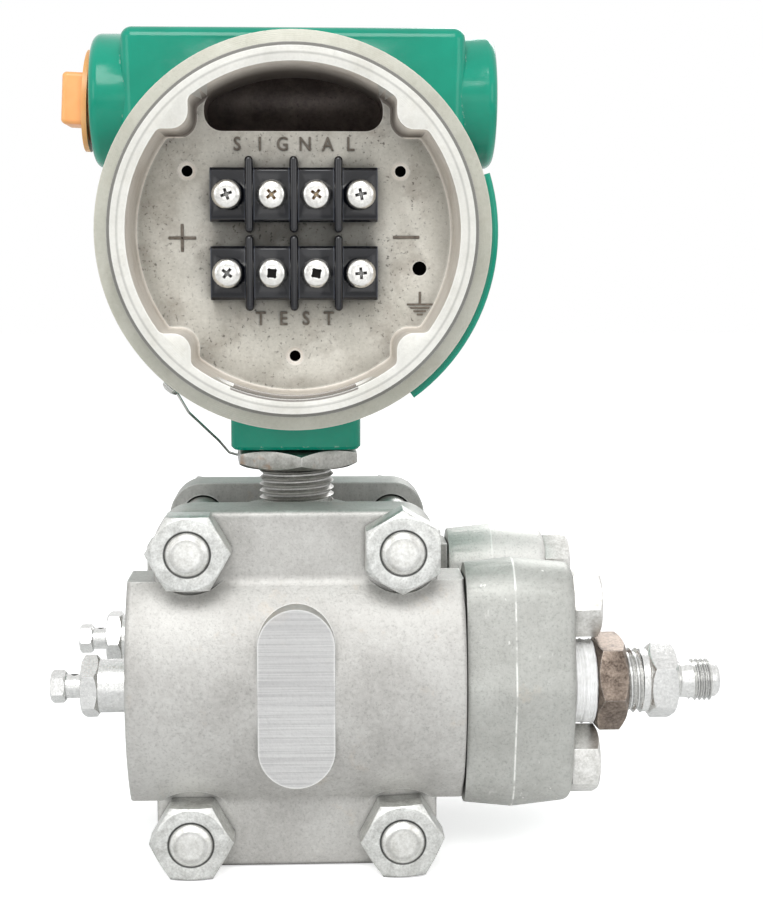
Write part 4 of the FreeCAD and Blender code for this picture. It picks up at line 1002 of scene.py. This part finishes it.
# The screw holes in the floor are painted nearly black as shade.
hole_shade = Finish("hole_painted_shade_metal", metallic=0.2, roughness=0.8, specular=0.1)
hole_shade.colour(hole_shade.two_tone(800, (6, 6, 6), (20, 18, 17)))
PIPE_PITCH, PIPE_DEPTH = 25.4 / 14, 0.95
entry, tone = bare_aluminium("entry_thread_metal", (170, 166, 156), (200, 196, 186),
                             (120, 114, 104))
entry.colour(tone)
entry.bump(entry.math("SINE", entry.times(entry.along("X"), math.tau / (PIPE_PITCH * MM))), 1.0, 0.0006)
print("pipe thread pitch", round(PIPE_PITCH, 3), "mm")

# %% [markdown]
# ## Which finish goes where
# One object can wear several finishes when its faces point at different material slots. The copy of
# the housing gets all nine, and each face is given one by where it lies and which way it looks:
# how far from the housing's axis, how far from the axis of the conduit passage that crosses it, and
# how deep. The first rule that fits wins, and what is left over is paint.

# %% Dress the housing
housing = softened("housing_casting", 0.22, green, "green_paint", turn_limit=50.0, smooth_angle=30.0)
for finish in (rim, shoulder, wall, floor, pocket_shade, entry, hole_shade, slot):
    housing.data.materials.append(finish.material)
GREEN, RIM, SHOULDER, WALL, FLOOR, POCKET_SHADE, ENTRY, HOLE_SHADE, SLOT_HIGHLIGHT = range(9)
NOSE_FOOT_Y, SHOULDER_R = 37.9 * MM, 45.2 * MM
CAVITY_OUT_R, SLOT_R = 41.9 * MM, 40.45 * MM
BLOCK_HALF, ENTRY_R, PASSAGE_R = 24 * MM, 11.0 * MM, 11.6 * MM
POCKET_DZ, POCKET_Y, POCKET_R = 18 * MM, 6 * MM, 47 * MM
FLOOR_HOLES = [(-26.9, 15.6, 1.6), (26.9, 15.6, 1.6), (0.0, -31.1, 1.6), (31.8, -8.9, 1.95)]
conduit_z = sum(corner.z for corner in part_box("conduit_plug")) / 2


def housing_finish_of(face):
    """The slot of a face of the housing, from where it lies and which way it looks."""
    x, y, z = face.center
    dz = z - housing_z
    corners = [tuple(housing.data.vertices[v].co) for v in face.vertices]
    reach = max(math.hypot(cx, cz - housing_z) for cx, cy, cz in corners)
    from_conduit = max(math.hypot(cy, cz - conduit_z) for cx, cy, cz in corners)
    in_hole = any(all(math.hypot(cx - hx * MM, cz - housing_z - hz * MM) < hr * MM for cx, cy, cz in corners)
                  for hx, hz, hr in FLOOR_HOLES)
    front = min(cy for cx, cy, cz in corners)
    inside = reach < CAVITY_OUT_R
    if abs(y) > NOSE_FOOT_Y:
        return SHOULDER if reach > SHOULDER_R else RIM
    if from_conduit < ENTRY_R and abs(x) > BLOCK_HALF:
        return ENTRY
    if dz > TOP_DZ * MM and front < floor_y - 0.3 * MM and inside:
        return WALL
    if from_conduit < PASSAGE_R and abs(x) <= BLOCK_HALF:
        return POCKET_SHADE
    if floor_y + 0.35 * MM < y < 0 and in_hole:
        return HOLE_SHADE
    if inside and y < floor_y + 0.3 * MM:
        if math.hypot(x, dz) > SLOT_R and dz < -BOTTOM_DZ * MM:
            return SLOT_HIGHLIGHT
        return FLOOR if face.normal.y < -0.9 and y > floor_y - 0.3 * MM else WALL
    if abs(x) < BLOCK_HALF and dz > POCKET_DZ and y < POCKET_Y and reach < POCKET_R:
        return POCKET_SHADE
    return WALL if inside and y > floor_y else GREEN


for face in housing.data.polygons:
    face.material_index = housing_finish_of(face)
worn_by = [face.material_index for face in housing.data.polygons]
print("faces with each finish", {dress.name: worn_by.count(k) for k, dress in enumerate(housing.material_slots)})

# %% [markdown]
# ## The threaded neck
# The housing screws onto a steel neck with a thread of fourteen turns to the inch, and the part of
# it below the lock nut stays in view. The ridge is sunk into a core that is turned to the thread's
# root and widens where the thread ends.

# %% Neck
neck_low, neck_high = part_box("threaded_neck")
neck_r = (neck_high.x - neck_low.x) / 2 / MM
neck_root_r = neck_r - PIPE_DEPTH
thread_from = 0.4
turns = int(((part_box("lock_nut")[1].z - neck_low.z) / MM - thread_from) / PIPE_PITCH)
thread_to = thread_from + (turns + 0.5) * PIPE_PITCH
neck_length = (neck_high.z - neck_low.z) / MM
core = lathe([(0, neck_root_r), (thread_to, neck_root_r), (thread_to + 0.6, neck_r - 0.05),
              (neck_length - 1, neck_r - 0.05), (neck_length, neck_r - 1)], 96)
ridge = thread_ridge(neck_root_r, neck_r - 0.02, PIPE_PITCH, turns, 64)
ridge.location.z = (thread_from + PIPE_PITCH / 2) * MM
neck = lay_along(join(core, ridge), (0, 0, neck_low.z), (0, 0, 1))
settle(neck, "neck_with_thread", 25)
finish_piece(neck, module, "sensor_body", "module_steel", "threaded_neck")
print("neck thread turns", turns, "faces", len(neck.data.polygons))

# %% [markdown]
# ## The tube connector
# The small bright fitting at the far right is turned from hexagon bar: a pipe thread that goes into
# the brown bushing, the hexagon itself, a waist and a fine thread with a coned end. Each length is
# lathed with the helper above and the pieces are joined into one.

# %% Connector
connector_low, connector_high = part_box("tube_connector")
start = connector_low.x / MM
connector_length = connector_high.x / MM - start
HEX_FROM_X, HEX_TO_X, THREAD_FROM_X, THREAD_TO_X = 91.2, 98.2, 101.7, 107.9
HEX_FROM, HEX_TO, THREAD_FROM, THREAD_TO = (x - start for x in (HEX_FROM_X, HEX_TO_X, THREAD_FROM_X, THREAD_TO_X))
BODY_R, WAIST_R, FINE_R = 8.5, 4.6, 5.5
FINE_PITCH, FINE_DEPTH, PIPE_TURNS = 25.4 / 20, 0.75, 3
ACROSS_FLATS, HEX_CHAMFER = 17.5, 1.1
pipe_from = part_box("reducer_bushing")[1].x / MM - start - PIPE_PITCH
pipe_to = pipe_from + PIPE_PITCH * (PIPE_TURNS + 0.3)
bar = lathe([(0.2, BODY_R - 1.0), (1.0, BODY_R), (pipe_from - 0.4, BODY_R), (pipe_from, BODY_R - PIPE_DEPTH),
             (pipe_to, BODY_R - PIPE_DEPTH), (pipe_to + 0.3, BODY_R - 0.3), (HEX_FROM - 0.2, BODY_R - 0.3),
             (HEX_FROM + 0.1, BODY_R), (HEX_TO - 0.1, BODY_R),
             (HEX_TO + 0.5, BODY_R - 1.6), (HEX_TO + 1.2, WAIST_R + 0.5), (HEX_TO + 1.7, WAIST_R),
             (THREAD_FROM - 0.6, WAIST_R), (THREAD_FROM, FINE_R - FINE_DEPTH), (THREAD_TO, FINE_R - FINE_DEPTH),
             (THREAD_TO + 0.5, FINE_R - 1.0), (connector_length - 1.0, FINE_R - 1.0),
             (connector_length, FINE_R - 1.9), (connector_length, FINE_R - 2.4),
             (connector_length - 1.4, 2.4)], 72)
grip = hexagon(ACROSS_FLATS, HEX_TO - HEX_FROM, HEX_CHAMFER, turn=30)
grip.location.z = HEX_FROM * MM
fine_turns = int((THREAD_TO - THREAD_FROM) / FINE_PITCH - 0.6)
fine = thread_ridge(FINE_R - FINE_DEPTH, FINE_R, FINE_PITCH, fine_turns, 48)
fine.location.z = (THREAD_FROM + FINE_PITCH * 0.75) * MM
coarse = thread_ridge(BODY_R - PIPE_DEPTH, BODY_R, PIPE_PITCH, PIPE_TURNS, 56)
coarse.location.z = (pipe_from + PIPE_PITCH * 0.5) * MM
connector = lay_along(join(bar, grip, fine, coarse), (connector_low.x, -abs(port_y), process_z), (1, 0, 0))
settle(connector, "connector_with_thread", 28)
finish_piece(connector, bright, "sensor_body", "bright_fitting", "tube_connector")
print("connector faces", len(connector.data.polygons))

# %% [markdown]
# ## Sealing tape
# Several turns of thin white tape lie over the bushing's thread. Outside the adapter they bunch into
# soft ridges with a frayed edge. A lathed sleeve with uneven ridges makes it, and a displacement by
# a cloud pattern takes the machine look away.

# %% Tape
tape_low, tape_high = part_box("thread_seal_tape")
tape_r = (tape_high.z - tape_low.z) / 2 / MM
tape_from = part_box("front_flange_adapter")[1].x / MM - 1.0
tape_length = tape_high.x / MM - tape_from
RIDGES, BORE_R = 7, 9.0
profile = [(0, BORE_R), (0, tape_r - 0.9)]
for k in range(RIDGES):
    foot = 1.0 + (tape_length - 1.3) * k / RIDGES
    swell = 0.25 if k % 3 else 0.0
    profile += [(foot, tape_r - 0.75), (foot + 0.35, tape_r - 0.25 - swell), (foot + 0.65, tape_r - 0.2 - swell)]
profile += [(tape_length, tape_r - 0.8), (tape_length, BORE_R)]
tape = lathe(profile, 96)
clouds = bpy.data.textures.new("tape_folds", "CLOUDS")
clouds.noise_scale = 0.0022
modify(tape, "DISPLACE", texture=clouds, strength=0.0004, mid_level=0.8)
lay_along(tape, (tape_from * MM, -abs(port_y), process_z), (1, 0, 0))
settle(tape, "wound_seal_tape", 60)
finish_piece(tape, white_tape, "sensor_body", "ptfe", "thread_seal_tape")
print("tape reaches", round(tape_length, 2), "mm")

# %% [markdown]
# ## Terminal screws
# Eight pan head screws hold the wires. A pan head is a short cylinder whose upper edge is rounded
# well in; its cross recess is cut by two crossed wedges. The inner pair on the test strip has a
# deeper, square recess painted black as shade, the outer recesses get a grey painted shade, and the
# inner signal screws show brass where the plating has worn.

# %% Screw head
RECESS_W, RECESS_REACH, RECESS_DEPTH, RECESS_R = 1.1, 2.15, 1.3, 2.1


def cross_cutter(square):
    """Two crossed wedges, with a square core where asked, that cut the recess."""
    arms = []
    for angle in (0, 90):
        arms.append(block(2 * RECESS_REACH, RECESS_W, 2 * RECESS_DEPTH, angle))
        edit("DESELECT")
        bpy.ops.mesh.select_mode(type="FACE")
        mesh = bmesh.from_edit_mesh(arms[-1].data)
        for face in mesh.faces:
            face.select = face.normal.z < -0.5
        bmesh.update_edit_mesh(arms[-1].data)
        bpy.ops.transform.resize(value=(0.35, 0.35, 1.0), center_override=(0, 0, 0))
        leave()
    if square:
        arms.append(block(square, square, 2 * (RECESS_DEPTH + 0.5), 45))
    return arms


def pan_head_screw(radius, height, shank_r, shank_length, square):
    """A screw along +Z with its seat at zero, head up."""
    screw = lathe([(-shank_length, shank_r * 0.7), (-shank_length + 0.6, shank_r), (-0.01, shank_r),
                   (0.0, radius - 0.15), (0.12, radius), (height * 0.42, radius),
                   (height * 0.66, radius - 0.14), (height * 0.83, radius - 0.45),
                   (height * 0.94, radius - 0.95), (height, radius - 1.6), (height + 0.06, radius - 2.6)], 56)
    for cutter in cross_cutter(square):
        cutter.location.z = height * MM
        modify(screw, "BOOLEAN", operation="DIFFERENCE", object=cutter, solver="EXACT")
        bpy.data.objects.remove(cutter)
    return screw


HEAD_R, HEAD_H, SHANK_R, SHANK_LENGTH, SQUARE = 3.7, 2.3, 1.85, 4.0, 2.2
print("screw heads", 2 * HEAD_R, "mm wide")

# %% [markdown]
# ## The eight screws in place
# The poles of both strips stand at one pitch about the housing's axis. The outer screws are lifted
# by a washer's thickness and the inner ones sit on the strip. Each is turned by its own angle, as
# screws are left, and the faces inside a recess get painted shade, or brass on the inner signal screws.

# %% Screws in place
POLE_PITCH, WASHER = 11.05 * MM, 1.3 * MM
TURNS = {"signal": (20, 38, 55, 12), "test": (52, 40, 35, 5)}
worn_brass = plain_steel("worn_brass_recess", (150, 118, 70), (214, 186, 140), rough=(0.3, 0.5))
# Screw recesses are painted dark as shade: nearly black on the inner test screws, grey on the outer ones.
recess_shade_dark = Finish("recess_shade_dark", metallic=0.4, roughness=0.7)
recess_shade_dark.colour(recess_shade_dark.two_tone(900, (18, 15, 14), (40, 36, 34)))
recess_shade_grey = plain_steel("recess_shade_grey", (108, 106, 104), (168, 166, 163), rough=(0.3, 0.5))
for strip in ("signal", "test"):
    strip_z = sum(corner.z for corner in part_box(strip + "_terminal_strip")) / 2
    lifted_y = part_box(strip + "_terminal_screws")[0].y + HEAD_H * MM
    heads = []
    for pole, turn in zip((-1.5, -0.5, 0.5, 1.5), TURNS[strip]):
        inner = abs(pole) < 1
        seat_y = lifted_y + WASHER if inner else lifted_y
        screw = pan_head_screw(HEAD_R, HEAD_H, SHANK_R, SHANK_LENGTH, SQUARE if inner and strip == "test" else 0.0)
        pick(screw)
        screw.rotation_euler.z = math.radians(turn)
        write_place()
        lay_along(screw, (pole * POLE_PITCH, seat_y, strip_z), (0, -1, 0))
        recess = recess_shade_dark if strip == "test" else worn_brass
        for finish in (screw_metal, recess if inner else recess_shade_grey):
            screw.data.materials.append(finish.material)
        for face in screw.data.polygons:
            from_axis = math.hypot(face.center.x - pole * POLE_PITCH, face.center.z - strip_z)
            if from_axis < RECESS_R * MM and face.center.y > seat_y - (HEAD_H - 0.25) * MM:
                face.material_index = 1
        heads.append(screw)
    screws = settle(join(*heads), strip + "_screws_with_recess", 30)
    finish_piece(screws, None, "electronics_housing", "screw_nickel", strip + "_terminal_screws")
    print(strip, "screws", len(screws.data.polygons), "faces")

# %% [markdown]
# ## Cast marks
# Words and signs for the wiring stand up a little from the compartment's floor: the two words, plus
# and minus, and the sign for earth beside its tapped hole. Text becomes a mesh, letter by letter, so
# that the wide even spacing of hand-set cast letters comes out right.

# %% Letters
LETTER_H = 3.4
MARK_PROUD, CAP_SHARE = 0.28, 0.7
mark_metal = Finish("cast_mark_metal", metallic=0.3, roughness=0.6)
mark_metal.colour(mark_metal.ramp(mark_metal.noise(900), (0.25, (84, 76, 68)), (0.75, (136, 127, 116))))


def letter(character, x, dz, height=LETTER_H):
    """One raised letter on the compartment's floor; x and dz are in mm from the housing axis."""
    fresh()
    bpy.ops.object.text_add(location=(0, 0, 0))
    text = bpy.context.object
    text.data.body = character
    text.data.align_x = "CENTER"
    text.data.size = height * MM / CAP_SHARE
    text.data.extrude = MARK_PROUD * MM / 2
    text.data.bevel_depth = 0.05 * MM
    text.data.resolution_u = 3
    bpy.ops.object.convert(target="MESH")
    glyph = bpy.context.object
    glyph.scale = (0.88, 1.0, 1.0)
    glyph.rotation_euler.x = math.radians(90)
    glyph.location = (x * MM, floor_y - MARK_PROUD * MM / 2, housing_z + (dz - height / 2) * MM)
    return write_place()


def word(text, pitch, dz, name):
    """A word spread evenly about the housing axis."""
    middle = (len(text) - 1) / 2
    glyphs = [letter(character, (k - middle) * pitch, dz) for k, character in enumerate(text)]
    return settle(join(*glyphs), name, 40)


marks = [word("SIGNAL", 5.7, 22.4, "signal_word"), word("TEST", 5.76, -21.5, "test_word")]
print("words", [mark.name for mark in marks])

# %% [markdown]
# ## Signs
# The plus, the minus and the sign for earth are made of bars. A bar is a cuboid that sits half in
# the floor with softened edges, and the earth sign is an upright bar over four level ones, each
# shorter than the one above it.

# %% Signs
PLUS_X, MINUS_X, EARTH_X = -28.3, 28.4, 31.9
EARTH_TOP, EARTH_STEP = -18.0, 0.85


def bar_mark(x, dz, width, height):
    """A raised bar on the compartment's floor; sizes and place in mm."""
    bar = block(width, MARK_PROUD * 2, height, place=(x * MM, floor_y, housing_z + dz * MM))
    return bevel(bar, 0.12)


marks += [settle(join(bar_mark(PLUS_X, -1.2, 7.0, 0.75), bar_mark(PLUS_X, -1.2, 0.75, 7.0)), "plus_sign"),
          settle(bar_mark(MINUS_X, -1.0, 6.7, 0.75), "minus_sign")]
earth_bars = [bar_mark(EARTH_X, -16.4, 0.55, 3.2)]
earth_bars += [bar_mark(EARTH_X, EARTH_TOP - EARTH_STEP * k, 6.6 - 1.7 * k, 0.42) for k in range(4)]
marks.append(settle(join(*earth_bars), "earth_sign"))
for mark in marks:
    finish_piece(mark, mark_metal, "electronics_housing", "green_paint")
print("marks", [mark.name for mark in marks])

# %% [markdown]
# ## The whole thing
